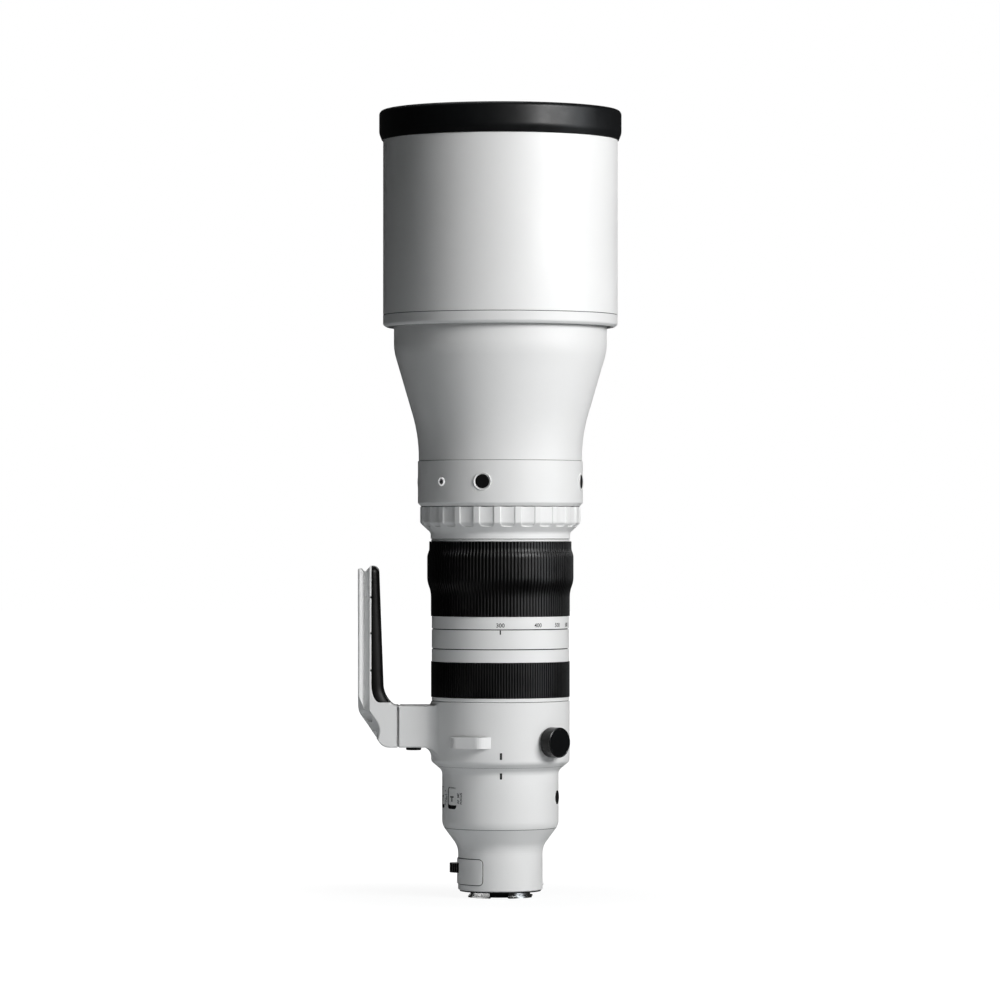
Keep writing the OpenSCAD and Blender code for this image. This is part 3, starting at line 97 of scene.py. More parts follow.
# Softboxes: clock is the bearing round the lens, 0 at the camera and positive to the right
softboxes = {
    "keyBox":    dict(clock=40, away=1800, height=1000, width=560, tall=720, power=17.3, aim=420),
    "sideBox":   dict(clock=55, away=1800, height=1000, width=560, tall=720, power=17.5, aim=420),
    "lowBox":    dict(clock=-34, away=520, height=30, width=340, tall=160, power=0.46, aim=70, tint=(0.96, 0.985, 1.0),
                      gloss=False),
    "backBox":   dict(clock=181, away=2300, height=800, width=900, tall=900, power=3, aim=300),
    "topBox":    dict(clock=205, away=700, height=2600, width=1300, tall=1300, power=12, aim=450, matt=False,
                      tint=(0.95, 0.98, 1.0)),
    "mountCard": dict(clock=-75, away=500, height=-30, width=700, tall=50, power=0.2, aim=-30, matt=False),
    "edgeBox":   dict(clock=75, away=2100, height=520, width=800, tall=1500, power=12, aim=330, matt=False,
                      tint=(0.9, 0.95, 1.0)),
}
for name, box in softboxes.items():
    light = bpy.data.lights.new(name, "AREA")
    light.shape = "RECTANGLE"
    light.size, light.size_y = box["width"] * mm, box["tall"] * mm
    light.energy = box["power"]
    light.color = box.get("tint", (1, 1, 1))
    lamp = bpy.data.objects.new(name, light)
    bearing = math.radians(box["clock"])
    at = np.array([math.sin(bearing), -math.cos(bearing), 0]) * box["away"] + [0, 0, box["height"]]
    lamp.location = at * mm
    toAim = np.array([0, 0, box["aim"]]) - at
    lamp.rotation_euler = (math.atan2(math.hypot(toAim[0], toAim[1]), -toAim[2]), 0,
                           math.atan2(toAim[1], toAim[0]) - math.pi / 2)
    lamp.visible_camera = False
    lamp.visible_diffuse, lamp.visible_glossy = box.get("matt", True), box.get("gloss", True)
    scene.collection.objects.link(lamp)

roomSet = dict(seen=1.0, cast=0.004, mirrored=0.015)   # a white room to the eye that lights the lens only a little
world = bpy.data.worlds.new("paleRoom")
scene.world = world
world.use_nodes = True
room = Graph(world.node_tree)
rays = room.node("ShaderNodeLightPath").outputs
plain = room.ramp(rays["Is Camera Ray"], 0, 1, roomSet["cast"], roomSet["seen"], smooth=False)
strength = room.node("ShaderNodeMath", {0: rays["Is Glossy Ray"], 1: roomSet["mirrored"], 2: plain},
                     operation="MULTIPLY_ADD").outputs[0]
backdrop = room.tree.nodes["Background"]
room.join(strength, backdrop.inputs["Strength"])
room.join((1, 1, 1, 1), backdrop.inputs["Color"])
print("camera, softboxes and room ready")


# Effects shared by the finishes, each a group that puts out heights and masks

def effect(name, inputs, outputs):
    tree = bpy.data.node_groups.new(name, "ShaderNodeTree")
    for label, kind, value in inputs:
        made = tree.interface.new_socket(name=label, in_out="INPUT", socket_type=kind)
        if value is not None:
            made.default_value = value
    for label in outputs:
        tree.interface.new_socket(name=label, in_out="OUTPUT", socket_type="NodeSocketFloat")
    graph = Graph(tree)
    return tree, graph, graph.node("NodeGroupInput").outputs, graph.node("NodeGroupOutput").inputs


vectorIn = ("Vector", "NodeSocketVector", None)

# Fine grain of a sprayed or moulded face: a tight noise for the relief, a slow one for the tone
grainTree, g, given, out = effect("sprayGrain", [vectorIn, ("Grain", "NodeSocketFloat", 2400.0),
                                                 ("Drift", "NodeSocketFloat", 11.0)], ["Height", "Tone"])
tight = g.noise(given["Vector"], given["Grain"], 3.0, 0.55)
coarse = g.noise(given["Vector"], g.math("MULTIPLY", given["Grain"], 0.31), 1.0)
g.join(g.math("ADD", g.math("MULTIPLY", tight, 0.65), g.math("MULTIPLY", coarse, 0.35)), out["Height"])
g.join(g.ramp(g.noise(given["Vector"], given["Drift"], 3.0, 0.6), 0.3, 0.72), out["Tone"])

# Marks of handling: soft smudges that change the gloss, and rare specks of dust
handlingTree, g, given, out = effect("handling", [vectorIn, ("Smudge Size", "NodeSocketFloat", 34.0),
                                                  ("Dust Size", "NodeSocketFloat", 900.0)], ["Smudge", "Dust"])
warp = g.noise(given["Vector"], given["Smudge Size"], 4.0, 0.65)
g.join(g.ramp(warp, 0.42, 0.7), out["Smudge"])
cells = g.node("ShaderNodeTexVoronoi", {"Vector": given["Vector"], "Scale": given["Dust Size"]})
speck = g.ramp(cells.outputs["Distance"], 0.05, 0.13, 1.0, 0.0)
rare = g.ramp(g.noise(given["Vector"], 130.0, 1.0), 0.6, 0.68)
g.join(g.math("MULTIPLY", speck, rare), out["Dust"])

# Worn edges: the piece's own edge attribute, broken up by noise
wearTree, g, given, out = effect("edgeWear", [vectorIn, ("Edge", "NodeSocketFloat", 0.0),
                                              ("Spread", "NodeSocketFloat", 0.5)], ["Mask"])
broken = g.noise(given["Vector"], 420.0, 4.0, 0.7)
whole = g.math("SUBTRACT", 0.78, g.math("MULTIPLY", given["Spread"], 0.3))
g.join(g.math("MULTIPLY", g.ramp(given["Edge"], 0.35, 0.95), g.ramp(broken, whole, 0.8)), out["Mask"])

# Lathe lines round the optical axis: noise over radius and height alone, so that it runs in rings
latheTree, g, given, out = effect("latheLines", [vectorIn, ("Pitch", "NodeSocketFloat", 3200.0)],
                                  ["Height", "Tone"])
axes = g.node("ShaderNodeSeparateXYZ", {"Vector": given["Vector"]}).outputs
radius = g.math("SQRT", g.math("ADD", g.math("MULTIPLY", axes["X"], axes["X"]),
                               g.math("MULTIPLY", axes["Y"], axes["Y"])))
rings = g.node("ShaderNodeCombineXYZ", {"X": radius, "Y": axes["Z"], "Z": 0.0}).outputs[0]
g.join(g.noise(rings, given["Pitch"], 3.0, 0.7), out["Height"])
g.join(g.ramp(g.noise(rings, g.math("MULTIPLY", given["Pitch"], 0.12), 2.0), 0.3, 0.7), out["Tone"])

# Fine pebbles of moulded rubber
pebbleTree, g, given, out = effect("rubberPebble", [vectorIn, ("Pebble", "NodeSocketFloat", 1500.0)],
                                   ["Height", "Bloom"])
bumps = g.node("ShaderNodeTexVoronoi", {"Vector": given["Vector"], "Scale": given["Pebble"]},
               feature="SMOOTH_F1")
g.join(g.math("SUBTRACT", 1.0, bumps.outputs["Distance"]), out["Height"])
g.join(g.ramp(g.noise(given["Vector"], 26.0, 4.0, 0.62), 0.38, 0.75), out["Bloom"])
print("effects ready")


# Finishes

class Finish(Graph):
    # A material with its Principled shader; sockets that are the same all over are set on the shader
    def __init__(self, name, colour, rough, **sockets):
        self.material = bpy.data.materials.new(name)
        self.material.use_nodes = True
        self.material.diffuse_color = (*colour, 1)
        super().__init__(self.material.node_tree)
        self.shader = self.tree.nodes["Principled BSDF"]
        self.feed("Base Color", (*colour, 1))
        self.feed("Roughness", rough)
        for label, value in sockets.items():
            self.feed(label.replace("_", " "), value)
        self.place = self.node("ShaderNodeTexCoord").outputs["Object"]

    def feed(self, label, value):
        self.join(value, self.shader.inputs[label])

    def use(self, tree, **values):
        # One of the effects above, laid by the piece's own coordinates
        made = self.node("ShaderNodeGroup", node_tree=tree)
        self.join(self.place, made.inputs["Vector"])
        for label, value in values.items():
            self.join(value, made.inputs[label.replace("_", " ")])
        return made.outputs

    def tint(self, mask, share, base, over):
        # The colour over shows through the base by the mask's share
        return self.blend(self.math("MULTIPLY", mask, share), base, (*over, 1))

    def worn(self, base, spread, share, bare):
        # The piece's edge attribute lets the bare colour show where hands rub
        edge = self.node("ShaderNodeAttribute", attribute_name="edge").outputs["Fac"]
        self.feed("Base Color", self.tint(self.use(wearTree, Edge=edge, Spread=spread)["Mask"], share, base, bare))

    def smudged(self, smudge, clean, touched):
        # Roughness goes from the clean face's to the touched one's
        self.feed("Roughness", self.ramp(smudge, 0, 1, clean, touched, smooth=False))

    def relief(self, height, strength, depth):
        bump = self.node("ShaderNodeBump", {"Height": height, "Strength": strength, "Distance": depth * mm})
        self.feed("Normal", bump.outputs["Normal"])


def lighter(colour, times=1.0, more=0.0):
    return tuple(c * times + more for c in colour)


# In each maker below, depth is the height of the grain in millimetres

def enamel(name, colour, shade, rough, grain=2400.0, depth=0.03, **sockets):
    f = Finish(name, colour, rough, Specular_IOR_Level=0.42, **sockets)
    spray = f.use(grainTree, Grain=grain, Drift=11.0)
    touched = f.use(handlingTree, Smudge_Size=30.0, Dust_Size=850.0)
    paint = f.tint(spray["Tone"], 0.55, (*colour, 1), shade)
    f.worn(f.tint(touched["Dust"], 0.22, paint, (0.5, 0.49, 0.47)), 0.35, 0.45, (0.42, 0.42, 0.43))
    f.smudged(touched["Smudge"], rough + 0.04, rough - 0.07)
    f.relief(spray["Height"], 0.55, depth)
    return f.material


def rubber(name, colour, bloom, rough, pebble, depth, shine, strength=0.6):
    f = Finish(name, colour, rough, Specular_IOR_Level=shine)
    moulded = f.use(pebbleTree, Pebble=pebble)
    touched = f.use(handlingTree, Smudge_Size=40.0, Dust_Size=700.0)
    base = f.tint(moulded["Bloom"], 0.6, (*colour, 1), bloom)
    f.feed("Base Color", f.tint(touched["Dust"], 0.5, base, (0.16, 0.155, 0.15)))
    f.smudged(touched["Smudge"], rough + 0.05, rough - 0.06)
    f.relief(moulded["Height"], strength, depth)
    return f.material


def blackCoat(name, colour, rough, grain, depth, shine):
    f = Finish(name, colour, rough, Specular_IOR_Level=shine)
    spray = f.use(grainTree, Grain=grain, Drift=40.0)
    touched = f.use(handlingTree, Smudge_Size=60.0)
    f.worn(f.tint(spray["Tone"], 0.5, (*colour, 1), lighter(colour, 1.5)), 0.55, 0.5, (0.2, 0.2, 0.2))
    f.smudged(touched["Smudge"], rough + 0.06, rough - 0.06)
    f.relief(spray["Height"], 0.5, depth)
    return f.material


def machined(name, colour, shade, rough, pitch=3200.0):
    f = Finish(name, colour, rough, Metallic=1.0)
    cut = f.use(latheTree, Pitch=pitch)
    touched = f.use(handlingTree, Smudge_Size=70.0)
    f.feed("Base Color", f.blend(cut["Tone"], (*colour, 1), (*shade, 1)))
    f.smudged(touched["Smudge"], rough - 0.05, rough + 0.09)
    f.relief(cut["Height"], 0.35, 0.012)
    return f.material


def opticalGlass(name, tint, glow, ior):
    f = Finish(name, tint, 0.015, Transmission_Weight=1.0, IOR=ior, Specular_IOR_Level=0.5,
               Specular_Tint=(*glow, 1))
    touched = f.use(handlingTree, Smudge_Size=22.0, Dust_Size=1600.0)
    f.feed("Base Color", f.tint(touched["Dust"], 0.3, (*tint, 1), (0.7, 0.7, 0.7)))
    f.smudged(touched["Smudge"], 0.01, 0.035)
    return f.material


def ink(name, colour, rough=0.55):
    f = Finish(name, colour, rough, Specular_IOR_Level=0.35)
    printed = f.use(grainTree, Grain=5200.0, Drift=300.0)
    f.feed("Base Color", f.blend(printed["Tone"], (*colour, 1), (*lighter(colour, more=0.03), 1)))
    f.relief(printed["Height"], 0.3, 0.01)
    return f.material


def flock(name, colour):
    f = Finish(name, colour, 0.95, Specular_IOR_Level=0.1, Sheen_Weight=0.35, Sheen_Roughness=0.5)
    fibres = f.use(grainTree, Grain=3800.0, Drift=60.0)
    f.feed("Base Color", f.blend(fibres["Tone"], (*colour, 1), (*lighter(colour, 1.8), 1)))
    f.relief(fibres["Height"], 0.9, 0.12)
    return f.material


whiteEnamel = enamel("whiteEnamel", (0.80, 0.80, 0.795), (0.765, 0.765, 0.76), 0.46)
# The hood's enamel: its own grain and gloss, and a lighter copy of the white enamel's colour that paints more light on
# the hood
hoodLitEnamel = enamel("hoodLitEnamel", (0.84, 0.84, 0.835), (0.81, 0.81, 0.805), 0.44, grain=2100.0)
castEnamel = enamel("castEnamel", (0.79, 0.79, 0.785), (0.75, 0.75, 0.745), 0.5, grain=1700.0, depth=0.05)
buttonWhite = enamel("buttonWhite", (0.8, 0.8, 0.79), (0.77, 0.77, 0.76), 0.36, grain=4000.0, depth=0.015)
gripRubber = rubber("gripRubber", (0.0014, 0.0014, 0.0015), (0.0026, 0.0026, 0.0026), 0.36, 2200.0, 0.02, 0.44)
padRubber = rubber("padRubber", (0.0022, 0.0022, 0.0022), (0.0036, 0.0036, 0.0036), 0.4, 1300.0, 0.06, 0.24, 0.8)
rimRubber = rubber("rimRubber", (0.0035, 0.0038, 0.0042), (0.005, 0.0055, 0.006), 0.4, 2600.0, 0.015, 0.36, 0.4)
sealRubber = rubber("sealRubber", (0.004, 0.004, 0.004), (0.006, 0.006, 0.006), 0.6, 2600.0, 0.02, 0.2)
knobBlack = blackCoat("knobBlack", (0.0038, 0.0038, 0.004), 0.3, 3000.0, 0.015, 0.3)
buttonBlack = blackCoat("buttonBlack", (0.004, 0.004, 0.0042), 0.6, 2600.0, 0.03, 0.2)
knobFace = blackCoat("knobFace", (0.0018, 0.002, 0.0022), 0.5, 3600.0, 0.015, 0.05)
knobEdge = blackCoat("knobEdge", (0.003, 0.003, 0.0032), 0.16, 5200.0, 0.006, 0.9)
anodised = blackCoat("anodised", (0.018, 0.018, 0.019), 0.38, 4200.0, 0.012, 0.6)
matteBaffle = blackCoat("matteBaffle", (0.012, 0.012, 0.012), 0.85, 2600.0, 0.05, 0.15)
mountSteel = machined("mountSteel", (0.7, 0.7, 0.695), (0.56, 0.56, 0.555), 0.3, 2600.0)
screwSteel = machined("screwSteel", (0.6, 0.6, 0.6), (0.48, 0.48, 0.48), 0.28, 5200.0)
goldPlate = machined("goldPlate", (0.86, 0.63, 0.26), (0.78, 0.56, 0.22), 0.2, 5200.0)
rollerBrass = machined("rollerBrass", (0.74, 0.57, 0.28), (0.66, 0.5, 0.24), 0.26)
cellAlloy = machined("cellAlloy", (0.56, 0.56, 0.57), (0.48, 0.48, 0.49), 0.32)
frontGlass = opticalGlass("frontGlass", (0.93, 0.965, 0.955), (0.35, 0.9, 0.75), 1.6)
innerGlass = opticalGlass("innerGlass", (0.94, 0.95, 0.97), (0.75, 0.5, 0.95), 1.55)
boardGreen = blackCoat("boardGreen", (0.012, 0.085, 0.035), 0.35, 1500.0, 0.02, 0.5)
blackInk = ink("blackInk", (0.004, 0.004, 0.004))
# Near black for the floors of gaps: painted shade in the gaps between parts
gapShadeBlack = ink("gapShadeBlack", (0.006, 0.006, 0.006), 0.9)
badgeGrey = machined("badgeGrey", (0.6, 0.6, 0.61), (0.5, 0.5, 0.51), 0.6)
# White that glows a little: a painted highlight on the badge's rim
badgeRimPaintedGlow = enamel("badgeRimPaintedGlow", (0.93, 0.93, 0.93), (0.9, 0.9, 0.9), 0.3, grain=4000.0, depth=0.01,
                     Emission_Color=(1, 1, 1, 1), Emission_Strength=0.3)
hoodFlock = flock("hoodFlock", (0.008, 0.008, 0.008))
print("finishes ready")

finishOf = {
    whiteEnamel: "rear_barrel switch_barrel index_band button_band front_barrel zoom_sleeve focus_sleeve "
                 "preset_ring hood_base filter_drawer strap_lugs",
    castEnamel: "collar tripod_foot",
    hoodLitEnamel: "hood_tube",
    buttonWhite: "switch_1 switch_2 switch_3 switch_4",
    gripRubber: "zoom_rubber focus_rubber",
    padRubber: "grip_pad",
    rimRubber: "hood_rim",
    sealRubber: "mount_seal",
    knobBlack: "collar_knob hood_knob filter_wheel click_button foot_screws",
    buttonBlack: "contact_block focus_button_1 focus_button_2 focus_button_3 focus_button_4 function_button",
    anodised: "main_barrel front_retaining_ring cam_tube filter_ring iris_blades",
    matteBaffle: "iris_housing rear_cell",
    mountSteel: "bayonet_mount",
    screwSteel: "bayonet_screws focus_rails zoom_key",
    goldPlate: "contact_pins",
    rollerBrass: "variator_rollers compensator_rollers",
    cellAlloy: "guide_tube variator_cell compensator_cell focus_cell",
    frontGlass: "front_element second_element filter_glass",
    innerGlass: "rear_elements variator_elements compensator_elements focus_elements",
    boardGreen: "circuit_board",
}
for material, names in finishOf.items():
    for name in names.split():
        piece = nodes[name]
        piece.data.materials.clear()
        piece.data.materials.append(material)
print("CAD nodes finished")


# Surfaces

def eased(corners, steps=5, hold=0.35):
    # Each corner (r, h, bevel) becomes a quadratic arc from one bevel before it to one bevel after it,
    # with a holding point beyond each end so that flats stay flat; returns rows of (r, h, edge)
    rows = []
    count = len(corners)
    for i, corner in enumerate(corners):
        p = np.array(corner[:2], float)
        bevel = corner[2] if len(corner) > 2 else 0
        if not bevel:
            rows.append((*p, 0.0))
            continue
        before = p - np.array(corners[i - 1][:2], float)
        after = np.array(corners[(i + 1) % count][:2], float) - p
        before, roomBefore = before / np.linalg.norm(before), np.linalg.norm(before)
        after, roomAfter = after / np.linalg.norm(after), np.linalg.norm(after)
        start, end = p - bevel * before, p + bevel * after
        if roomBefore > bevel + 2 * hold:
            rows.append((*(start - hold * before), 0.0))
        for t in np.linspace(0, 1, steps + 1):
            rows.append((*((1 - t) ** 2 * start + 2 * t * (1 - t) * p + t * t * end), 1.0))
        if roomAfter > bevel + 2 * hold:
            rows.append((*(end + hold * after), 0.0))
    return np.array(rows)


def sCurve(r0, r1, z0, angle, f0, f1, steps=14):
    # Hollow fillet f0, straight flank at angle to the axis, round f1, as in the CAD source
    a = math.radians(angle)
    z2 = z0 + f0 * math.sin(a) + (r1 - r0 - (f0 + f1) * (1 - math.cos(a))) / math.tan(a)
    t = np.linspace(0, a, steps)
    hollow = np.stack([r0 + f0 * (1 - np.cos(t)), z0 + f0 * np.sin(t)], 1)
    top = np.stack([r1 - f1 * (1 - np.cos(t[::-1])), z2 + f1 * (math.sin(a) - np.sin(t[::-1]))], 1)
    return [tuple(p) for p in np.vstack([hollow, top])]


def surface(name, grid, wrapU=True, wrapV=True, edge=None, weld=False):
    # A grid of points, nu by nv, joined by quads that face along du x dv
    nu, nv = grid.shape[:2]
    i = np.arange(nu if wrapU else nu - 1)[:, None]
    j = np.arange(nv if wrapV else nv - 1)[None, :]
    ni, nj = (i + 1) % nu, (j + 1) % nv
    faces = np.stack([i * nv + j, ni * nv + j, ni * nv + nj, i * nv + nj], -1).reshape(-1, 4)
    mesh = bpy.data.meshes.new(name)
    mesh.vertices.add(nu * nv)
    mesh.vertices.foreach_set("co", (grid * mm).astype(np.float32).ravel())
    mesh.loops.add(faces.size)
    mesh.loops.foreach_set("vertex_index", faces.ravel().astype(np.int32))
    mesh.polygons.add(len(faces))
    mesh.polygons.foreach_set("loop_start", np.arange(0, faces.size, 4, dtype=np.int32))
    mesh.polygons.foreach_set("use_smooth", np.ones(len(faces), bool))
    mesh.update(calc_edges=True)
    if edge is not None:
        mark = mesh.attributes.new("edge", "FLOAT", "POINT")
        mark.data.foreach_set("value", np.broadcast_to(edge, (nu, nv)).astype(np.float32).ravel())
    if weld:
        shell = bmesh.new()
        shell.from_mesh(mesh)
        bmesh.ops.remove_doubles(shell, verts=shell.verts, dist=1e-7)
        shell.to_mesh(mesh)
        shell.free()
    mesh.validate()
    return mesh


def fit(mesh, body, material, replaces=()):
    # Puts a mesh on its CAD body, with its finish and the nodes it stands for
    piece = bpy.data.objects.new(mesh.name, mesh)
    scene.collection.objects.link(piece)
    mesh.materials.clear()
    mesh.materials.append(material)
    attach(piece, body)
    if replaces:
        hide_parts(*replaces)
    return piece


def frameOf(clock, z):
    # Origin, axis and two sides of a part that is turned about a line out of the barrel
    a = math.radians(clock)
    return (np.array([0, 0, z]), np.array([math.sin(a), -math.cos(a), 0]),
            np.array([math.cos(a), math.sin(a), 0]), np.array([0, 0, 1]))


upright = (np.zeros(3), np.array([0, 0, 1.0]), np.array([1.0, 0, 0]), np.array([0, 1.0, 0]))
shellSteps, smallSteps, knobSteps = 256, 96, 288                  # points round a barrel, a button and a knob


def spun(name, rows, segments=shellSteps, place=upright, ripple=None, wrapV=True):
    # A profile of (r, h, edge) goes round its axis: origin + h*axis + (r + ripple(turn, r, h)) * round
    origin, axis, side, up = place
    turn = np.linspace(0, 2 * math.pi, segments, endpoint=False)[:, None]
    r, h = rows[None, :, 0], rows[None, :, 1]
    r = r + (ripple(turn, r, h) if ripple else 0) * np.ones_like(turn)
    round_ = np.cos(turn)[..., None] * side + np.sin(turn)[..., None] * up
    grid = origin + h[..., None] * axis + r[..., None] * round_
    return surface(name, grid, True, wrapV, rows[None, :, 2], weld=rows[:, 0].min() < 1e-6)


def onBarrel(r, bearing, z):
    # Points at radius r and height z, at a bearing in radians from the camera's side
    r, bearing, z = np.broadcast_arrays(r, bearing, z)
    return np.stack([r * np.sin(bearing), -r * np.cos(bearing), z], -1)


def meshOf(name, points, faces, smooth=False):
    # A mesh from listed points, in millimetres, and faces
    mesh = bpy.data.meshes.new(name)
    mesh.from_pydata((np.array(points) * mm).tolist(), [], faces)
    mesh.update()
    if smooth:
        mesh.polygons.foreach_set("use_smooth", np.ones(len(faces), bool))
    return mesh


def without(mesh, gone):
    # Takes out the faces for which gone(centre in millimetres, normal) holds
    shell = bmesh.new()
    shell.from_mesh(mesh)
    cut = [face for face in shell.faces if gone(np.array(face.calc_center_median()) / mm, face.normal)]
    bmesh.ops.delete(shell, geom=cut, context="FACES")
    shell.to_mesh(mesh)
    shell.free()
    return mesh


# Fixed barrels and hood, turned finer than the CAD solids and with their edges eased

stations = dict(focus=149.2, index=190.1, zoom=205.5, preset=275.8, band=301.4, front=337.2, mouth=467.0,
                hood=441.8, hoodTube=451.4, rim=588.3, top=611.6)
s = stations

frontShell = dict(neck=64.05, mouth=83.5, cone=16.3, hollow=120, shoulder=40, wall=3.0, wallTop=394, lap=61.45,
                  lapBore=58.5, lapDeep=6, glass=79.1, glassFloor=434, clear=75.5, clearFloor=418, second=71.1,
                  secondFloor=402, stop=68, stopFloor=398, waist=395.2)
f = frontShell
cone = sCurve(f["neck"], f["mouth"], s["front"] + 2.4, f["cone"], f["hollow"], f["shoulder"], 22)
coneInside = [(r - f["wall"], z) for r, z in reversed(cone) if z < f["wallTop"]]
frontRows = eased(
    [(f["lap"], s["front"] - f["lapDeep"], 0.3), (f["lap"], s["front"], 0.2), (f["neck"], s["front"], 0.35)] +
    cone +
    [(f["mouth"], s["mouth"], 0.8), (f["glass"], s["mouth"], 0.5), (f["glass"], f["glassFloor"], 0.2),
     (f["clear"], f["glassFloor"], 0.3), (f["clear"], f["clearFloor"], 0.3), (f["second"], f["clearFloor"], 0.3),
     (f["second"], f["secondFloor"], 0.2), (f["stop"], f["secondFloor"], 0.3), (f["stop"], f["stopFloor"], 0.3),
     (coneInside[0][0] + 0.1, f["waist"], 0.3)] + coneInside +
    [(f["lapBore"], s["front"] + 2, 0.3), (f["lapBore"], s["front"] - f["lapDeep"], 0.3)])
fit(spun("front_barrel_shell", frontRows), "barrel", whiteEnamel, ["front_barrel"])

hoodSet = dict(outer=92.0, inner=89.5, bore=83.8, foot=89.3, footRise=1.9, seam=0.25, step=474, stepWide=2,
               lip=81.5, lipTop=470.25, lipLow=467.25, spigot=91.4, spigotTop=599.9)
h = hoodSet
baseTop, tubeLow = s["hoodTube"] - h["seam"], s["hoodTube"] + h["seam"]
baseRows = eased([
    (h["bore"], s["hood"], 0.3), (h["foot"], s["hood"], 0.7), (h["outer"], s["hood"] + h["footRise"], 1.1),
    (h["outer"], baseTop, 0.15), (h["inner"] - 0.05, baseTop, 0.1), (h["inner"] - 0.05, h["step"], 0.2),
    (h["inner"] - h["stepWide"], h["step"], 0.3), (h["lip"], h["lipTop"], 0.4), (h["lip"], h["lipLow"], 0.3),
    (h["bore"], h["lipLow"], 0.1)])
fit(spun("hood_base_shell", baseRows), "hood", whiteEnamel, ["hood_base"])
tubeRows = eased([
    (h["inner"], tubeLow, 0.1), (h["outer"], tubeLow, 0.15), (h["outer"], s["rim"], 0.15),
    (h["spigot"], s["rim"], 0.1), (h["spigot"], h["spigotTop"], 0.2), (h["inner"], h["spigotTop"], 0.2)])
fit(spun("hood_tube_shell", tubeRows), "hood", hoodLitEnamel, ["hood_tube"])
rimSet = dict(seat=91.45, seatTop=600.05, foot=93.0, proud=95.1, swell=5.5, crown=93.3, mouth=90.1)
m = rimSet
rimRows = eased([
    (m["seat"], s["rim"], 0.1), (m["foot"], s["rim"], 0.5), (m["proud"], s["rim"] + m["swell"], 1.6),
    (m["proud"], s["top"] - 2.2, 1.2), (m["crown"], s["top"], 1.1), (m["mouth"], s["top"], 0.6),
    (h["inner"], s["top"] - 0.7, 0.4), (h["inner"], m["seatTop"], 0.1), (m["seat"], m["seatTop"], 0.1)])
fit(spun("hood_rim_shell", rimRows), "hood", rimRubber, ["hood_rim"])

# The lining stands a hair off the tube and carries shallow rings against stray light
liningSet = dict(outer=89.42, inner=88.95, low=474.9, high=609.6, pitch=5.6, depth=0.3, foot=474.12, steps=192)
n = liningSet
rise = np.linspace(n["high"], n["low"], 150)
ringed = n["inner"] + n["depth"] * (0.5 - 0.5 * np.cos(2 * math.pi * (rise - n["low"]) / n["pitch"]))
liningRows = np.vstack([np.stack([ringed, rise, 0 * rise], 1),
                        [[87.45, 474.5, 0], [81.6, 470.75, 0], [81.6, 470.45, 0], [87.45, n["foot"], 0],
                         [n["outer"], n["foot"], 0], [n["outer"], n["high"], 0]]])
fit(spun("hood_lining", liningRows, n["steps"]), "hood", hoodFlock)

# White bands of the rings; the rubbers cover their sunk seats
ringSet = dict(face=53.8, bore=51.0, indexBore=50.7, seam=0.38, focusSeat=52.6, focusLow=152.22, focusHigh=180.02,
               zoomSeat=52.5, zoomLow=215.5, zoomHigh=274.0, zoomLip=54.2)
g = ringSet
focusRows = eased([
    (g["bore"], s["focus"] + 0.2, 0.1), (g["face"], s["focus"] + 0.2, 0.45), (g["face"], g["focusLow"], 0.12),
    (g["focusSeat"], g["focusLow"], 0.1), (g["focusSeat"], g["focusHigh"], 0.1),
    (g["face"], g["focusHigh"], 0.12), (g["face"], s["index"] - g["seam"], 0.2),
    (g["bore"], s["index"] - g["seam"], 0.1)])
fit(spun("focus_sleeve_band", focusRows), "focus_ring", whiteEnamel, ["focus_sleeve"])
indexRows = eased([
    (g["indexBore"], s["index"] + g["seam"], 0.1), (g["face"], s["index"] + g["seam"], 0.2),
    (g["face"], s["zoom"] - g["seam"], 0.2), (g["indexBore"], s["zoom"] - g["seam"], 0.1)])
fit(spun("index_band_face", indexRows), "barrel", whiteEnamel, ["index_band"])
sleeveRows = eased([
    (g["bore"], s["zoom"] + g["seam"], 0.1), (g["face"], s["zoom"] + g["seam"], 0.2),
    (g["face"], g["zoomLow"], 0.15), (g["zoomSeat"], g["zoomLow"], 0.1), (g["zoomSeat"], g["zoomHigh"], 0.1),
    (g["zoomLip"], g["zoomHigh"], 0.12), (g["zoomLip"], s["preset"] - 0.25, 0.3),
    (g["bore"], s["preset"] - 0.25, 0.1)])
fit(spun("zoom_sleeve_band", sleeveRows), "zoom_ring", whiteEnamel, ["zoom_sleeve"])

# Black floors of the gaps between the rings, painted shade that deepens each gap: body, then the radius and height of
# both ends of what shows
gapRings = {
    "hood": ("hood", 91.5, 451.17, 91.5, 451.63),
    "front": ("barrel", 63.75, 336.92, 63.75, 337.18),
    "band": ("barrel", 62.15, 301.08, 62.15, 301.47),
    "preset": ("barrel", 53.75, 275.58, 53.75, 275.97),
    "zoom": ("barrel", 52.8, 205.14, 52.8, 205.86),
    "index": ("barrel", 52.8, 189.74, 52.8, 190.46),
    "focus": ("barrel", 53.4, 149.07, 53.4, 149.38),
    "collar": ("barrel", 49.92, 98.09, 50.1, 98.25),
    "rear": ("barrel", 43.98, 49.63, 44.19, 49.99),
}
gapDeep = 0.7
for name, (body, r0, z0, r1, z1) in gapRings.items():
    ringRows = np.array([(r0 - gapDeep, z0, 0), (r0, z0, 0), (r1, z1, 0), (r0 - gapDeep, z1, 0)])
    fit(spun("gap_shade_ring_" + name, ringRows), body, gapShadeBlack)
# Black ring under the hood base: painted shade under its chamfer, where it meets the barrel
feltRows = np.array([(83.9, 441.76, 0), (88.75, 441.76, 0), (88.7, 441.9, 0), (83.9, 441.9, 0)])
fit(spun("hood_under_shade_ring", feltRows, n["steps"]), "hood", hoodFlock)
print("shells turned")

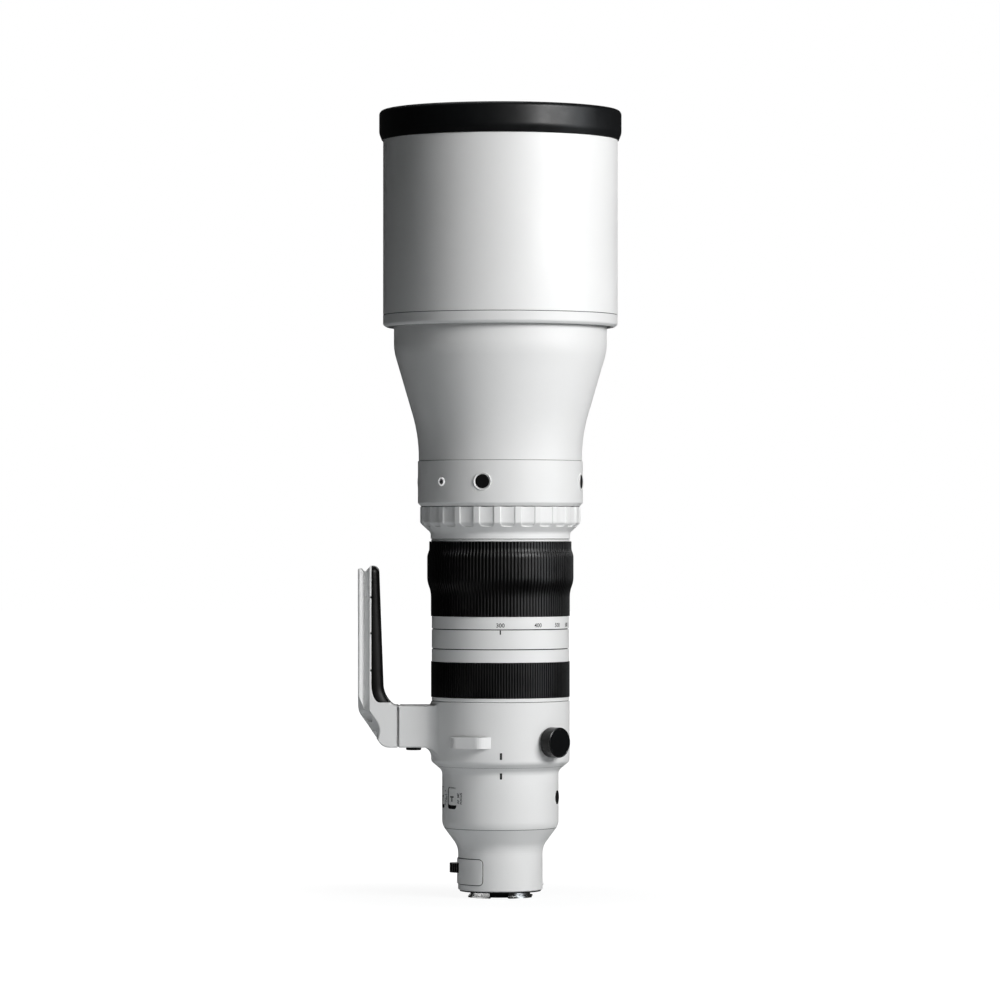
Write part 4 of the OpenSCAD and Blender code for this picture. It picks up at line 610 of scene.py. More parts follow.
# Button band, finer round its buttons; the faces under each button are left out and its boss covers the cut
buttonSet = dict(z=320.5, clocks=(-12.5, 77.5, 167.5, -102.5), cut=6.7, outer=64.7, inner=61.52, lap=58.95,
                 neck=62.4, fine=8.5, steps=400, flange=60.8, foot=60.0,
                 face=[(0, 64.9), (4.3, 64.96, 0.6), (5.1, 65.02, 0.35), (5.4, 64.75, 0.15)],
                 boss=[(5.5, 61.3, 0.1), (5.5, 64.62, 0.12), (6.5, 65.24, 0.3), (7.05, 65.2, 0.3), (7.25, 63.7, 0.1)])
b = buttonSet
climb = np.arange(b["z"] - b["fine"], b["z"] + b["fine"] + 0.1, 1.0)
bandRows = eased([(b["lap"], s["band"] + 0.1, 0.1), (b["neck"], s["band"] + 0.1, 0.25),
                  (b["outer"], s["band"] + 2.7, 0.5)] + [(b["outer"], z, 0) for z in climb] +
                 [(b["outer"], s["front"] - 0.3, 0.35), (b["inner"], s["front"] - 0.3, 0.1)] +
                 [(b["inner"], z, 0) for z in climb[::-1]] +
                 [(b["inner"], s["band"] + 3, 0.1), (b["lap"], s["band"] + 3, 0.1)])
outward = [frameOf(clock, 0)[1] for clock in b["clocks"]]


def underButton(centre, normal):
    # Within the cut round the line through one of the four buttons
    c = centre - [0, 0, b["z"]]
    return any(c @ a > 50 and np.linalg.norm(c - (c @ a) * a) < b["cut"] for a in outward)


fit(without(spun("button_band_shell", bandRows, b["steps"]), underButton), "barrel", whiteEnamel,
    ["button_band"])


def plunger(name, node, place, part):
    # A matt black button: its dished face, then the flange that traps it behind the panel
    rows = eased(part["face"] + [(5.4, part["flange"] + 0.1, 0.1), (6.3, part["flange"], 0.1),
                                 (6.3, part["foot"], 0.1), (0, part["foot"])], 6, 0.2)
    fit(spun(name, rows, smallSteps, place, wrapV=False), node, buttonBlack, [node])


bossRows = eased(b["boss"], 6, 0.15)                              # a dished white ring round each plunger
for i, clock in enumerate(b["clocks"]):
    at = frameOf(clock, b["z"])
    fit(spun(f"focus_boss_{i + 1}", bossRows, smallSteps, at, wrapV=False), "barrel", buttonWhite)
    plunger(f"focus_cap_{i + 1}", f"focus_button_{i + 1}", at, b)
functionSet = dict(clock=77, z=73.8, flange=42.1, foot=41.3,
                   face=[(0, 45.85), (4.2, 45.9, 0.6), (5.1, 46.05, 0.35), (5.4, 45.8, 0.15)])
plunger("function_cap", "function_button", frameOf(functionSet["clock"], functionSet["z"]), functionSet)

# A plain badge: white rim, grey face and a crossed slot, as on a set screw. The rim glows a little, a painted
# highlight for the light its ring catches
badgeSet = dict(clock=-44.9, z=320.4, face=64.95, steps=72, slots=(45, 135),
                rim=[(2.1, 64.8), (2.2, 65.1, 0.12), (2.7, 65.28, 0.3), (3.3, 65.05, 0.25), (3.5, 64.5, 0.05)])
at = frameOf(badgeSet["clock"], badgeSet["z"])
fit(spun("badge_rim", eased(badgeSet["rim"], 6, 0.08), badgeSet["steps"], at, wrapV=False), "barrel", badgeRimPaintedGlow)
fit(spun("badge_face", np.array([(0, badgeSet["face"], 0), (2.1, badgeSet["face"], 0), (2.12, 64.8, 0)]),
         badgeSet["steps"], at, wrapV=False), "barrel", badgeGrey)
print("buttons set")

# Preset ring with its finger scallops: shallow hollows with a crisp step along both sides
presetSet = dict(count=24, first=5.2, wide=11.4, hollow=0.75, step=0.5, low=285.6, corner=2.8, sleeve=51.05,
                 neck=54.7, face=62.9, rise=279.0, wall=3.7, bore=59.25, gap=0.35)
q = presetSet
presetOut = sCurve(q["neck"], q["face"], q["rise"], 47, 4, 2.5, 8)
presetIn = [(r - q["wall"], z) for r, z in presetOut]
flank = np.linspace(presetOut[7], presetOut[8], 22)[1:-1]         # the slope, cut fine where the scallops end
presetOut = presetOut[:8] + [tuple(p) for p in flank] + presetOut[8:]
presetRows = eased([(q["sleeve"], s["preset"] + 0.2, 0.1), (q["neck"], s["preset"] + 0.2, 0.35)] + presetOut +
                   [(q["face"], z, 0) for z in np.linspace(presetOut[-1][1] + 0.2, 300.3, 24)] +
                   [(q["face"], s["band"] - q["gap"], 0.4), (q["bore"], s["band"] - q["gap"], 0.2)] +
                   presetIn[::-1], 4)
pitch = 360 / q["count"]
half = math.degrees(q["wide"] / 2 / q["face"])
across = np.concatenate([np.linspace(-half, half, 15)[1:-1],
                         [-half - 0.06, -half + 0.10, half - 0.10, half + 0.06],
                         np.linspace(half + 0.4, pitch - half - 0.4, 5)])
across.sort()
turns = ((np.arange(q["count"])[:, None] * pitch + across[None, :]) % 360).ravel()
local = np.tile(np.where(across > pitch / 2, across - pitch, across), q["count"])
order = np.argsort(turns, kind="stable")
turns, local = turns[order], local[order]
side = np.abs(local)[:, None] / half
r, z = presetRows[None, :, 0], presetRows[None, :, 1]
onOutside = np.arange(len(presetRows))[None, :] < len(presetRows) - len(presetIn) - 3
outerFace = (r > 59.0) & (z > presetOut[0][1]) & onOutside
drop = np.clip((q["low"] + q["corner"] - z) / q["corner"], 0, 1)
reach = 1 - (q["corner"] / (q["wide"] / 2)) * (1 - np.sqrt(1 - drop ** 2))
inside = np.clip((reach - side) / 0.02, 0, 1)
depth = (q["step"] + q["hollow"] * np.clip(1 - (side / reach) ** 2, 0, 1)) * inside
depth = depth * np.clip((z - q["low"]) / 0.4, 0, 1) * np.clip((s["band"] - z) / 0.3, 0, 1)
hollowed = np.where(outerFace, r - depth, r)
grid = onBarrel(hollowed, np.radians(turns + q["first"])[:, None], z)
fit(surface("preset_ring_scalloped", grid, True, True, presetRows[None, :, 2]), "preset_ring", whiteEnamel,
    ["preset_ring"])
print("preset ring scalloped")


# Lock knobs of the collar and the hood

def fluted(count, deep, low, high):
    # Sinks flutes into a profile where its radius is over low and its height is under high
    return lambda turn, r, h: -deep * (0.5 - 0.5 * np.cos(count * turn)) ** 2 * ((r > low) & (h < high))


knobSet = dict(clock=45, z=118.0,
               side=[(0, 54.95), (11.3, 54.95, 0.25), (11.7, 55.4, 0.2), (11.7, 57.0, 0), (11.7, 64.0, 0),
                     (11.7, 65.2, 0.45), (10.95, 65.32, 0.25), (10.7, 65.05, 0.1)],
               bezel=[(11.6, 64.3), (11.73, 64.4, 0.05), (11.73, 65.2, 0.5), (10.9, 65.37, 0.3),
                      (10.65, 65.05, 0.1)],
               face=[(0, 65.04), (9.6, 65.04, 0.3), (10.3, 65.1, 0.3), (10.78, 64.95, 0.1)])
at = frameOf(knobSet["clock"], knobSet["z"])
fit(spun("collar_knob_side", eased(knobSet["side"], 7, 0.1), knobSteps, at, fluted(72, 0.1, 11.6, 63.9),
         wrapV=False), "collar_knob", knobBlack, ["collar_knob"])
fit(spun("collar_knob_bezel", eased(knobSet["bezel"], 7, 0.1), 192, at, wrapV=False), "collar_knob", knobEdge)
fit(spun("collar_knob_face", eased(knobSet["face"], 5, 0.1), 128, at, wrapV=False), "collar_knob", knobFace)
hoodKnobSet = dict(clock=180, z=455.0,
                   side=[(0, 92.3), (6.6, 92.3, 0.2), (7.0, 92.7, 0.15), (7.0, 94.0, 0), (7.0, 98.4, 0),
                         (7.0, 99.0, 0.2), (6.4, 99.58, 0.2), (0, 99.6)])
at = frameOf(hoodKnobSet["clock"], hoodKnobSet["z"])
fit(spun("hood_knob_fluted", eased(hoodKnobSet["side"], 6, 0.1), knobSteps, at, fluted(12, 0.75, 6.5, 99.2),
         wrapV=False), "hood_knob", knobBlack, ["hood_knob"])
print("knobs turned")

# Ribbed rubbers. Round the ring, each rib has a crowned top, eased shoulders and a flat groove; along
# the axis the outline is eased where it swells
gripSet = {
    "zoom_rubber": dict(ribs=129, depth=0.8, groove=0.42, seat=52.55, body="zoom_ring", outline=[
        (54.5, 215.55, 0.25), (54.5, 234.2, 4.0), (57.4, 242.7, 3.2), (57.4, 263.3, 2.0), (55.8, 267.2, 1.8),
        (55.8, 273.95, 0.3)]),
    "focus_rubber": dict(ribs=158, depth=0.8, groove=0.44, seat=52.65, body="focus_ring", outline=[
        (54.4, 152.25, 0.25), (54.4, 180.0, 0.25)]),
}
for name, grip in gripSet.items():
    half = (1 - grip["groove"]) / 2
    across = np.array([-0.5, -half - 0.1, -half - 0.045, -half - 0.01, -half + 0.03, -half + 0.075, -0.09])
    across = np.concatenate([across, [0.0], -across[:0:-1]])
    depth = np.clip((np.abs(across) - half + 0.07) / 0.12, 0, 1)
    depth = depth * depth * (3 - 2 * depth) + 0.07 * (across / half) ** 2 * (np.abs(across) < half)
    turn = ((np.arange(grip["ribs"])[:, None] + across[None, :]) * 2 * math.pi / grip["ribs"]).ravel()
    sunk = np.tile(depth * grip["depth"], grip["ribs"])
    seat = grip["seat"]
    rows = eased([(seat, grip["outline"][0][1], 0)] + grip["outline"] + [(seat, grip["outline"][-1][1], 0)])
    proud = np.clip((rows[:, 0] - seat) / 1.0, 0, 1)
    r = rows[None, :, 0] - sunk[:, None] * proud[None, :]
    grid = np.stack([r * np.cos(turn)[:, None], r * np.sin(turn)[:, None],
                     np.broadcast_to(rows[None, :, 1], r.shape)], -1)
    fit(surface(name + "_ribs", grid), grip["body"], gripRubber, [name])
print("rubbers ribbed")


# Printed figures and marks

inkProud = 0.06                                                   # what is printed stands this far off its face


def swung(points, degrees):
    # Flat points turned about their origin
    c, sn = math.cos(math.radians(degrees)), math.sin(math.radians(degrees))
    return points @ np.array([[c, sn, 0], [-sn, c, 0], [0, 0, 1]])


def lettering(text, size, turned=0, bold=0.0):
    # The outline font as a flat mesh centred on the origin, in millimetres
    curve = bpy.data.curves.new("figures", "FONT")
    curve.body = text
    curve.size = size
    curve.align_x, curve.align_y = "CENTER", "CENTER"
    curve.resolution_u = 4
    curve.offset = bold
    holder = bpy.data.objects.new("figures", curve)
    scene.collection.objects.link(holder)
    bpy.context.view_layer.update()
    made = bpy.data.meshes.new_from_object(holder.evaluated_get(bpy.context.evaluated_depsgraph_get()))
    points = np.zeros(len(made.vertices) * 3)
    made.vertices.foreach_get("co", points)
    faces = [list(p.vertices) for p in made.polygons]
    bpy.data.objects.remove(holder)
    return swung(points.reshape(-1, 3), turned), faces


def rounded(width, tall, corner, steps):
    # Points of a rectangle with quarter circles at its corners, in order round its centre
    a = np.linspace(0, math.pi / 2, steps + 1)
    return np.vstack([np.stack([way * (width / 2 - corner) + corner * np.cos(a + turn),
                                up * (tall / 2 - corner) + corner * np.sin(a + turn)], 1)
                      for way, up, turn in ((1, 1, 0), (-1, 1, math.pi / 2), (-1, -1, math.pi),
                                            (1, -1, 1.5 * math.pi))])


def oblong(width, tall, corner=0.0):
    # A flat bar with rounded corners, as a fan of triangles round its centre
    ring = rounded(width, tall, corner, 4 if corner else 0)
    n = len(ring)
    points = np.vstack([[[0, 0]], ring])
    return np.column_stack([points, np.zeros(n + 1)]), [[0, 1 + k, 1 + (k + 1) % n] for k in range(n)]


def loop(width, tall, corner, steps=6, along=1):
    # The same outline with its straight sides cut up, so that they bend well
    points = rounded(width, tall, corner, steps)
    out = []
    for k in range(len(points)):
        parts = along if k % (steps + 1) == steps else 1
        out += [points[k] + (points[(k + 1) % len(points)] - points[k]) * j / parts for j in range(parts)]
    return np.array(out)


def printOn(name, parts, body):
    # parts: (flat mesh, clock, z, radius); each is bent on its cylinder, x round it and y up it
    points, faces, start = [], [], 0
    for (flat, polygons), clock, z, radius in parts:
        bearing = math.radians(clock) + flat[:, 0] / radius
        points.append(onBarrel(radius + inkProud + flat[:, 2], bearing, z + flat[:, 1]))
        faces += [[v + start for v in p] for p in polygons]
        start += len(flat)
    return fit(meshOf(name, np.vstack(points), faces), body, blackInk)


def bent(name, loops, clock, z, material):
    # loops: (points, radius) from the outside in, bent on the barrel and joined by quads
    count = len(loops[0][0])
    points = np.vstack([onBarrel(radius, math.radians(clock) + flat[:, 0] / radius, z + flat[:, 1])
                        for flat, radius in loops])
    faces = [[j * count + i, j * count + (i + 1) % count, (j + 1) * count + (i + 1) % count, (j + 1) * count + i]
             for j in range(len(loops) - 1) for i in range(count)]
    return fit(meshOf(name, points, faces, smooth=True), "barrel", material)


def sheet(name, wide, tall, corner, radius, thick, clock, z, body, material, replaces=()):
    # A curved plate with rounded corners and eased edges: rows across, each as long as the outline there
    u = np.linspace(-1, 1, 41)
    x = u * wide / 2
    inset = np.clip(np.abs(x) - (wide / 2 - corner), 0, corner)
    halfTall = tall / 2 - corner + np.sqrt(np.maximum(corner ** 2 - inset ** 2, 0))
    v = np.concatenate([[-1, -0.985, -0.95], np.linspace(-0.85, 0.85, 9), [0.95, 0.985, 1]])
    y = halfTall[:, None] * v[None, :]
    edge = np.minimum((1 - np.abs(v))[None, :] * halfTall[:, None], (1 - np.abs(u))[:, None] * wide / 2)
    r = radius - 0.28 * np.exp(-np.maximum(edge, 0) / 0.16)           # drop at the rim, and how far in it fades
    bearing = math.radians(clock) + x[:, None] / radius
    face, back = onBarrel(r, bearing, z + y), onBarrel(radius - thick, bearing, z + y)
    grid = np.concatenate([face, back[:, ::-1]], 1)
    return fit(surface(name, grid, False, True), body, material, replaces)


# Switches: white sliders that follow the barrel, over a black floor, inside thin dark outlines
switchSet = dict(clocks=(-56, -80, -104, -128), z=73.9, wide=11.5, tall=16.8, radius=45.65, sliderZ=75.15,
                 carrierZ=74.1, barZ=74.9, stemZ=72.9, letters=2.8, bold=0.07, choiceAt=10.2, titleAt=14.0,
                 stopAt=-9.3, stopZ=(78.6, 69.6), words=(("FOCUS", "AF  MF"), ("LIMIT", "FULL  1  2"),
                                                         ("SET", "1  2  3"), ("MODE", "OFF  1  2")))
w = switchSet
skin, middle = w["radius"], w["z"]
edges = [loop(w["wide"] + more, w["tall"] + more, corner, 8, 8)
         for more, corner in ((1.5, 3.0), (1.3, 2.9), (0.1, 2.35), (-0.5, 2.1))]
for i, (clock, (title, choice)) in enumerate(zip(w["clocks"], w["words"])):
    body = f"switch_{i + 1}"
    bent(body + "_frame", [(edges[0], skin - 0.1), (edges[1], skin + 0.05), (edges[2], skin + 0.05)], clock,
         middle, whiteEnamel)
    bent(body + "_outline", [(edges[2], skin + 0.05), (edges[3], skin - 0.35), (edges[3], skin - 1.6)], clock,
         middle, blackInk)
    sheet(body + "_slider", 10.7, 13.5, 1.9, skin - 0.12, 1.4, clock, w["sliderZ"], body, buttonWhite,
          [body])
    sheet(body + "_carrier", 12.6, 18.6, 0.6, skin - 1.7, 0.9, clock, w["carrierZ"], body, buttonBlack)
    printOn(body + "_mark", [(oblong(4.6, 1.3), clock, w["barZ"], skin - 0.14),
                             (oblong(1.5, 3.6), clock, w["stemZ"], skin - 0.14)], body)
    printOn(body + "_words", [(lettering(words, w["letters"], 90, w["bold"]), clock + at, middle, skin)
                              for words, at in ((choice, w["choiceAt"]), (title, w["titleAt"]))] +
            [(oblong(0.4, 2.4), clock + w["stopAt"], z, skin) for z in w["stopZ"]], "barrel")
print("switches set")

# Outline of the filter drawer's cover, a thin dark gap on the barrel: a black band that paints the gap's shade
coverSet = dict(clock=-90, half=65, low=6.3, high=25.8, radius=33.12, corner=3.2)
c = coverSet
span = 2 * math.radians(c["half"]) * c["radius"]
tall = c["high"] - c["low"]
inner, outer = [loop(span + more, tall + more, c["corner"] + more / 2, 8, 60) for more in (0.1, 1.4)]
bent("drawer_seam_shade", [(outer, c["radius"]), (outer, c["radius"] + 0.03), (inner, c["radius"] + 0.03),
                        (inner, c["radius"] - 0.5)], c["clock"], (c["low"] + c["high"]) / 2, blackInk)

# Foot: its side view is filled by lines from the inner outline to the outer one, and the half width at
# each point is the least of the slab, the dovetail's V groove and the heel's chamfer
footSet = dict(half=21.1, reach=111.25, back=100.6, tip=254.9, grooveFrom=102.0, grooveAt=(106.3, 15.9),
               flangeAt=(109.4, 19.0), grooveLow=136, heel=(91.7, 113.0), toe=(110.7, 140.4), steep=1.7,
               heelMiddle=129.3, toeAt=162.3, toeDrop=14.0, toeSink=6.4,
               tipOutline=([100.6, 101.1, 106.3, 109.4, 110.6, 111.3], [254.9, 254.9, 249.7, 252.8, 252.6, 251.7]),
               fade=([7.3, 8.3, 9.9, 12.5, 15.3, 19.5], [0, 1.25, 3.25, 5.7, 7.2, 8.1]),
               round=1.3, edge=0.7, washer=0.65,
               screws=((-13, 121), (13, 121), (-13, 137.6), (13, 137.6)), screwHole=4.6, screwFloor=88.0,
               threads=((180, 3.97, 102.8), (205, 2.555, 103.3)))
ft = footSet


def pathOf(corners, step=0.25):
    # A polyline with eased corners, cut fine; returns points and their distance along it
    rows = eased([(*c[:2], c[2] if len(c) > 2 else 0) for c in corners], 6, 0.2)[:, :2]
    length = np.concatenate([[0], np.cumsum(np.linalg.norm(np.diff(rows, axis=0), axis=1))])
    fine = np.linspace(0, length[-1], int(length[-1] / step))
    return np.stack([np.interp(fine, length, rows[:, k]) for k in (0, 1)], 1), fine


def alongPath(path, marks, counts):
    # Samples between the points of the path nearest to each mark
    points, length = path
    at = [length[np.argmin(np.linalg.norm(points - np.array(m), axis=1))] for m in marks]
    where = np.concatenate([np.linspace(a, b, n, endpoint=False) for a, b, n in zip(at, at[1:], counts)] + [[at[-1]]])
    return np.stack([np.interp(where, length, points[:, k]) for k in (0, 1)], 1)


def toeCurve(angle):
    # Quarter ellipse below the foot's straight back, where foot and pad meet; the angle is 0 at its top
    return np.stack([ft["back"] - ft["toeSink"] * (1 - np.cos(angle)),
                     ft["toeAt"] - ft["toeDrop"] * np.sin(angle)], 1)


innerPath = pathOf([(80.0, 145.6), (83.6, 145.6, 1.4), (86.6, 148.3, 0.3)] +
                   [tuple(p) for p in toeCurve(np.radians(np.linspace(90, 0, 13)))] + [(ft["back"], ft["tip"])])
outerPath = pathOf([(80.0, 113.0), (*ft["heel"], 5), (*ft["toe"], 3.0), (ft["reach"], 144.4, 0.8),
                    (ft["reach"], 252.8)])
counts = (14, 12, 16, 22, 26)
inner = alongPath(innerPath, [(80.0, 145.6), (84.6, 146.4), (86.6, 148.3), (94.2, 148.3), (98.7, 152.4),
                              (100.6, 166)], counts)
outer = alongPath(outerPath, [(80.0, 113.0), (87.6, 113.0), (92.5, 115.2), (103.0, 129.3), (108.4, 137.1),
                              (111.3, 156)], counts)
across = np.unique(np.concatenate([[0, 0.006, 0.014, 0.026, 0.042, 0.065], np.linspace(0.09, 0.91, 40),
                                   [0.935, 0.955, 0.97, 0.982, 0.992, 1]] +
                                  [[v - 0.008, v + 0.008] for v in (0.131, 0.533, 0.822)]))
side = inner[:, None] + (outer - inner)[:, None] * across[None, :, None]           # x, z of the heel and arm
railX = side[-1, :, 0]
tipZ = np.interp(railX, *ft["tipOutline"])
climb = np.concatenate([np.linspace(0, 0.97, 60)[1:], [0.985, 0.993, 0.9965, 1, 1]])
rail = np.stack([railX[None, :] + 0 * climb[:, None], side[-1, :, 1] + (tipZ - side[-1, :, 1]) * climb[:, None]], -1)
side = np.concatenate([side[:1], side[:1], side, rail])            # two more rows draw in the end at the arm
side[:2, :, 1] = ft["heelMiddle"] + (side[:2, :, 1] - ft["heelMiddle"]) * 0.95
side[1, :, 0] += 0.05
side[2, :, 0] += 0.8
x, z = side[..., 0], side[..., 1]
slope = np.array(ft["toe"]) - ft["heel"]
slope = slope / np.linalg.norm(slope)
depthIn = (ft["toe"][0] - x) * slope[1] + (z - ft["toe"][1]) * slope[0]
upSlope = (x - ft["heel"][0]) * slope[0] + (z - ft["heel"][1]) * slope[1]
facet = np.interp(upSlope, *ft["fade"])
groove = np.interp(x, [ft["grooveFrom"], ft["grooveAt"][0], ft["flangeAt"][0]],
                   [ft["half"], ft["grooveAt"][1], ft["flangeAt"][1]])
groove = np.where(z > ft["grooveLow"], groove, ft["half"])
half = np.minimum(groove, ft["half"] - ft["steep"] * np.maximum(facet - depthIn, 0))
wide = np.linalg.norm(side[:, -1] - side[:, 0], axis=-1)[:, None]
for gap, r in (((1 - across) * wide, ft["round"]), (across * wide, ft["edge"])):
    near = np.clip(r - gap, 0, r)
    half = half - r + np.sqrt(r * r - near ** 2)
half[:2] -= 0.8
half[-1] -= 0.4
strip = np.concatenate([[-0.985], np.linspace(-0.95, 0.95, 40), [0.985]])
mirrored = side[:, ::-1]
loopX = np.concatenate([x, np.repeat(x[:, -1:], len(strip), 1), mirrored[..., 0], np.repeat(x[:, :1], 2, 1)], 1)
loopZ = np.concatenate([z, np.repeat(z[:, -1:], len(strip), 1), mirrored[..., 1], np.repeat(z[:, :1], 2, 1)], 1)
loopY = np.concatenate([-half, half[:, -1:] * strip, half[:, ::-1], half[:, :1] * [0.97, -0.97]], 1)
grid = np.stack([-loopX, loopY, loopZ], -1)
flat = grid[[0, -1]] * [1, 0, 1]
grid = np.concatenate([flat[:1], grid, flat[1:]])
holes = [(y, h, ft["screwHole"]) for y, h in ft["screws"]] + [(0, h, r) for h, r, _ in ft["threads"]]


def overHole(centre, normal):
    # On the outer face or the heel, within a hole and the washer that covers its ragged rim
    return -normal.x > 0.3 and any(math.hypot(centre[1] - y, centre[2] - h) < r + ft["washer"] for y, h, r in holes)


fit(without(surface("foot_body", grid, False, True, 0.0, weld=True), overHole), "collar", castEnamel,
    ["tripod_foot"])


def faceAt(y, z):
    # Outer skin of the foot: its distance from the axis at (y, z), on the outer face or on the heel's chamfer
    slack = (ft["half"] - np.abs(y)) / ft["steep"]
    plain = np.interp(z, outerPath[0][:, 1], outerPath[0][:, 0])
    skin = plain
    for _ in range(12):                                          # the chamfer's depth depends on the place itself
        up = (skin - ft["heel"][0]) * slope[0] + (z - ft["heel"][1]) * slope[1]
        depth = np.maximum(np.interp(up, *ft["fade"]) - slack, 0)
        skin = 0.5 * skin + 0.5 * np.minimum(plain, ft["toe"][0] - (depth - (z - ft["toe"][1]) * slope[0]) / slope[1])
    return skin


def socket(name, y, h, rows, material, slot):
    # A lined hole along x: rows of (radius, depth below the outer face, or the place of its floor)
    turn = np.linspace(0, 2 * math.pi, 64, endpoint=False)[:, None]
    r, x, down = np.array(rows, float).T[:, None, :]
    py, pz = y + r * np.cos(turn), h + r * np.sin(turn)
    px = np.where(x > 0, x, faceAt(py, pz) - down)
    return fit(surface(name, np.stack([-px, py, pz], -1), True, False, weld=r.min() == 0), "collar", material)


wellRows = [(0, ft["screwFloor"] + 0.05, 0), (4.5, ft["screwFloor"] + 0.05, 0), (4.6, ft["screwFloor"] + 0.2, 0),
            (4.6, 0, 0.35), (4.68, 0, 0.1), (4.9, 0, -0.03), (6.1, 0, -0.03), (6.2, 0, 0.1)]
for i, (y, h) in enumerate(ft["screws"]):
    socket(f"foot_screw_well_{i + 1}", y, h, wellRows, castEnamel, "white_paint")
for i, (h, r, floor) in enumerate(ft["threads"]):
    turnsIn = np.arange(0, 111.0 - floor, 0.4)
    thread = [(r - 0.28 * (k % 4 in (1, 2)), floor + d, 0) for k, d in enumerate(turnsIn)]
    collarRows = [(r + 0.1, 0, 0.1), (r + 0.25, 0, -0.04), (r + 1.3, 0, -0.04), (r + 1.4, 0, 0.1)]
    socket(f"foot_thread_{i + 1}", 0, h, [(0, floor, 0)] + thread + collarRows, screwSteel, "screw_steel")

# Grip pad: a crowned section, a quarter ellipse from the foot to the hand side, carried down the foot
padSet = dict(half=20.9, shoulder=4.2, crown=0.5, tipRound=5.0, thickAt=([162.3, 249.9], [8.4, 5.25]),
              front=92.2, sweep=43.6, toeRound=20.3)
pd = padSet
rise = np.concatenate([ft["tip"] - pd["tipRound"] * (1 - np.cos(np.radians(np.linspace(2, 90, 12)))),
                       np.linspace(249, 163, 60)])
over = np.clip((rise - ft["tip"] + pd["tipRound"]) / pd["tipRound"], 0, 1)
thick = np.interp(rise, *pd["thickAt"]) * (0.12 + 0.88 * np.sqrt(1 - over ** 2))
backLine = np.stack([np.full(len(rise), ft["back"]), rise], 1)
frontLine = backLine - np.stack([thick, 0 * thick], 1)
bend = np.linspace(0, 1, 24)
backLine = np.vstack([backLine, toeCurve(bend * math.pi / 2)])
bow = np.radians(pd["sweep"]) * bend
frontLine = np.vstack([frontLine, np.stack([pd["front"] - pd["toeRound"] * (1 - np.cos(bow)),
                                            ft["toeAt"] - pd["toeRound"] * np.sin(bow)], 1)])
lean = np.linspace(0, math.pi / 2, 14)
level = np.concatenate([np.sin(lean), np.ones(9), np.sin(lean[::-1])])
spread = np.concatenate([-(pd["half"] - pd["shoulder"] * (1 - np.cos(lean))),
                         np.linspace(-1, 1, 11)[1:-1] * (pd["half"] - pd["shoulder"]),
                         pd["half"] - pd["shoulder"] * (1 - np.cos(lean[::-1]))])
swell = 1 + pd["crown"] / 8 * (1 - (spread / pd["half"]) ** 2) * (level > 0.99)
point = backLine[:, None] + (frontLine - backLine)[:, None] * (level * swell)[None, :, None]
pinch = np.concatenate([0.72 + 0.28 * np.sqrt(1 - over ** 2), np.ones(24)])[:, None]
grid = np.stack([-point[..., 0], spread[None, :] * pinch, point[..., 1]], -1)
ends = [np.broadcast_to(row.mean(1, keepdims=True), row.shape) for row in (grid[:1], grid[-1:])]
grid = np.concatenate([ends[0], grid, ends[1]])
fit(surface("grip_pad_crowned", grid[::-1], False, True, weld=True), "collar", padRubber, ["grip_pad"])

# Small tabs of the pad in notches of the foot's edge: rows of (radius of the half disc, distance from the middle)
tabSet = dict(heights=(173.3, 202.3, 230.4), back=ft["back"] + 0.1, forms={
    "pad_tab": ([(0.05, 21.16), (0.85, 21.16), (0.9, 21.06)], padRubber, "grip_rubber"),
    "pad_notch": ([(0.86, 21.06), (0.92, 21.22), (1.15, 21.24), (1.3, 21.06)], castEnamel, "white_paint")})
turn = np.linspace(math.pi / 2, 1.5 * math.pi, 17)[:, None]
for i, h in enumerate(tabSet["heights"]):
    for label, way in (("near", -1), ("far", 1)):
        for form, (rows, finish, slot) in tabSet["forms"].items():
            r, out = np.array(rows).T[:, None, :]
            grid = np.stack([-tabSet["back"] + r * np.cos(turn), way * out + 0 * turn, h + r * np.sin(turn)], -1)
            fit(surface(f"{form}_{i + 1}_{label}", grid[::way], False, False), "collar", finish)
print("foot and pad shaped")

# Black slab in the joint between arm and foot, painted shade in the gap: a thin slab with rounded corners
jointSet = dict(inner=79.71, outer=79.99, half=20.75, low=113.75, high=144.85, corner=1.2)
j = jointSet
ring = loop(2 * j["half"], j["high"] - j["low"], j["corner"], 5) + [0, (j["low"] + j["high"]) / 2]
count = len(ring)
points = np.vstack([np.column_stack([np.full(count, -x), ring]) for x in (j["outer"], j["inner"])])
fit(meshOf("arm_joint_shade", points, [list(range(count)), list(range(2 * count - 1, count - 1, -1))] +
           [[i, count + i, count + (i + 1) % count, (i + 1) % count] for i in range(count)]),
    "collar", gapShadeBlack)

# Figures of the zoom scale, the badge's slot and the index ticks
scaleSet = dict(size=4.5, bold=0.05, z=208.75, radius=53.8, tickZ=203.4,
                figures={"300": 0, "400": 33, "500": 55.5, "600": 73})
printOn("zoom_scale_figures", [(lettering(text, scaleSet["size"], 0, scaleSet["bold"]), clock, scaleSet["z"],
                                scaleSet["radius"]) for text, clock in scaleSet["figures"].items()], "zoom_ring")
printOn("zoom_index_tick", [(oblong(1.0, 3.2), 0, scaleSet["tickZ"], scaleSet["radius"])], "barrel")
flat, polygons = oblong(2.7, 0.5, 0.2)
printOn("badge_slot", [((swung(flat, turn), polygons), badgeSet["clock"], badgeSet["z"], badgeSet["face"])
                       for turn in badgeSet["slots"]], "barrel")
printOn("collar_tick", [(oblong(1.75, 5.2), 0.5, 107.6, 54.3)], "collar")
tickSet = dict(clock=0.6, half=0.875, low=89.4, high=94.2, shoulderAt=91.7, hollow=6, radius=45.65, proud=0.07)
t = tickSet                                                       # this one climbs the start of the shoulder
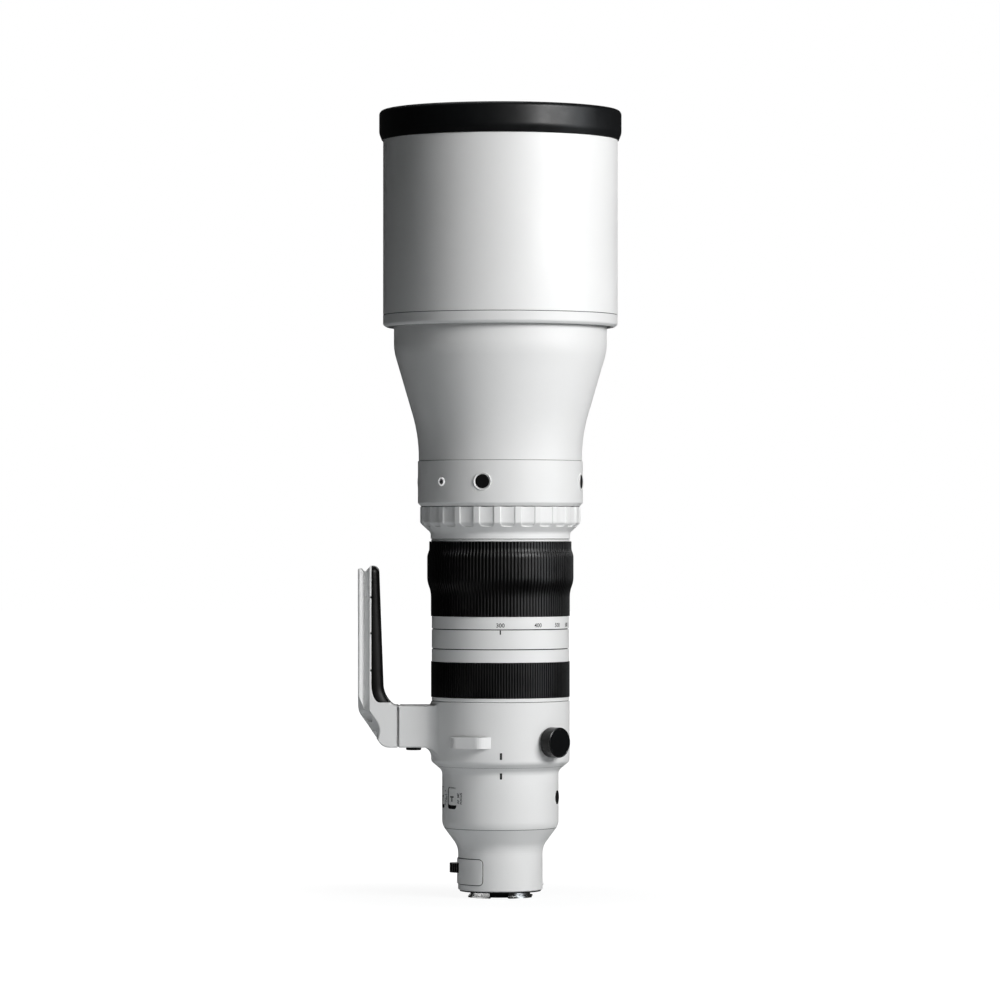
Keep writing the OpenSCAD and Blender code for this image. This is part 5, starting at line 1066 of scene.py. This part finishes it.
rise = np.linspace(t["low"], t["high"], 12)
hug = t["radius"] + t["proud"] + t["hollow"] - np.sqrt(t["hollow"] ** 2 -
                                                       np.clip(rise - t["shoulderAt"], 0, None) ** 2)
swing = math.radians(t["clock"]) + np.array([-t["half"], t["half"]])[:, None] / t["radius"]
fit(surface("barrel_tick", onBarrel(hug, swing, rise), False, False), "barrel", blackInk)
print("figures and ticks printed")


# Floor, pale, with only a soft contact shadow; not part of the object
floorSet = dict(half=14000, z=-4.55, albedo=0.8, shown=0.12, glow=0.93, farGlow=1.1, near=0.05, far=0.4,
                bounce=(0.81, 0.835, 0.85))
x, z = floorSet["half"], floorSet["z"]
floorMesh = meshOf("paleFloor", [(-x, -x, z), (x, -x, z), (x, x, z), (-x, x, z)], [(0, 1, 2, 3)])
floor = bpy.data.objects.new("paleFloor", floorMesh)
scene.collection.objects.link(floor)
pale = bpy.data.materials.new("paleFloor")
pale.use_nodes = True
p = Graph(pale.node_tree)
p.tree.nodes.remove(p.tree.nodes["Principled BSDF"])
eye = p.node("ShaderNodeLightPath").outputs["Is Camera Ray"]
shade = p.ramp(eye, 0, 1, floorSet["albedo"], floorSet["shown"], smooth=False)
cast = [p.math("MULTIPLY", shade, part) for part in floorSet["bounce"]]
matt = p.node("ShaderNodeBsdfDiffuse", {"Color": p.node("ShaderNodeCombineColor", dict(enumerate(cast))).outputs[0]})
where = p.node("ShaderNodeTexCoord").outputs["Object"]
away = p.node("ShaderNodeVectorMath", {0: where}, operation="LENGTH").outputs["Value"]
# Weaker glow near the lens: the floor round it is painted a little darker, a painted shade added to the real contact
# shadow
glow = p.ramp(away, floorSet["near"], floorSet["far"], floorSet["glow"], floorSet["farGlow"])
shine = p.node("ShaderNodeEmission", {"Strength": p.math("MULTIPLY", eye, glow)})
both = p.node("ShaderNodeAddShader", {0: matt.outputs[0], 1: shine.outputs[0]})
p.join(both.outputs[0], p.tree.nodes["Material Output"].inputs["Surface"])
floorMesh.materials.append(pale)
floor.visible_glossy = False                                     # black parts keep their depth, as over a dark flag
print("floor laid")
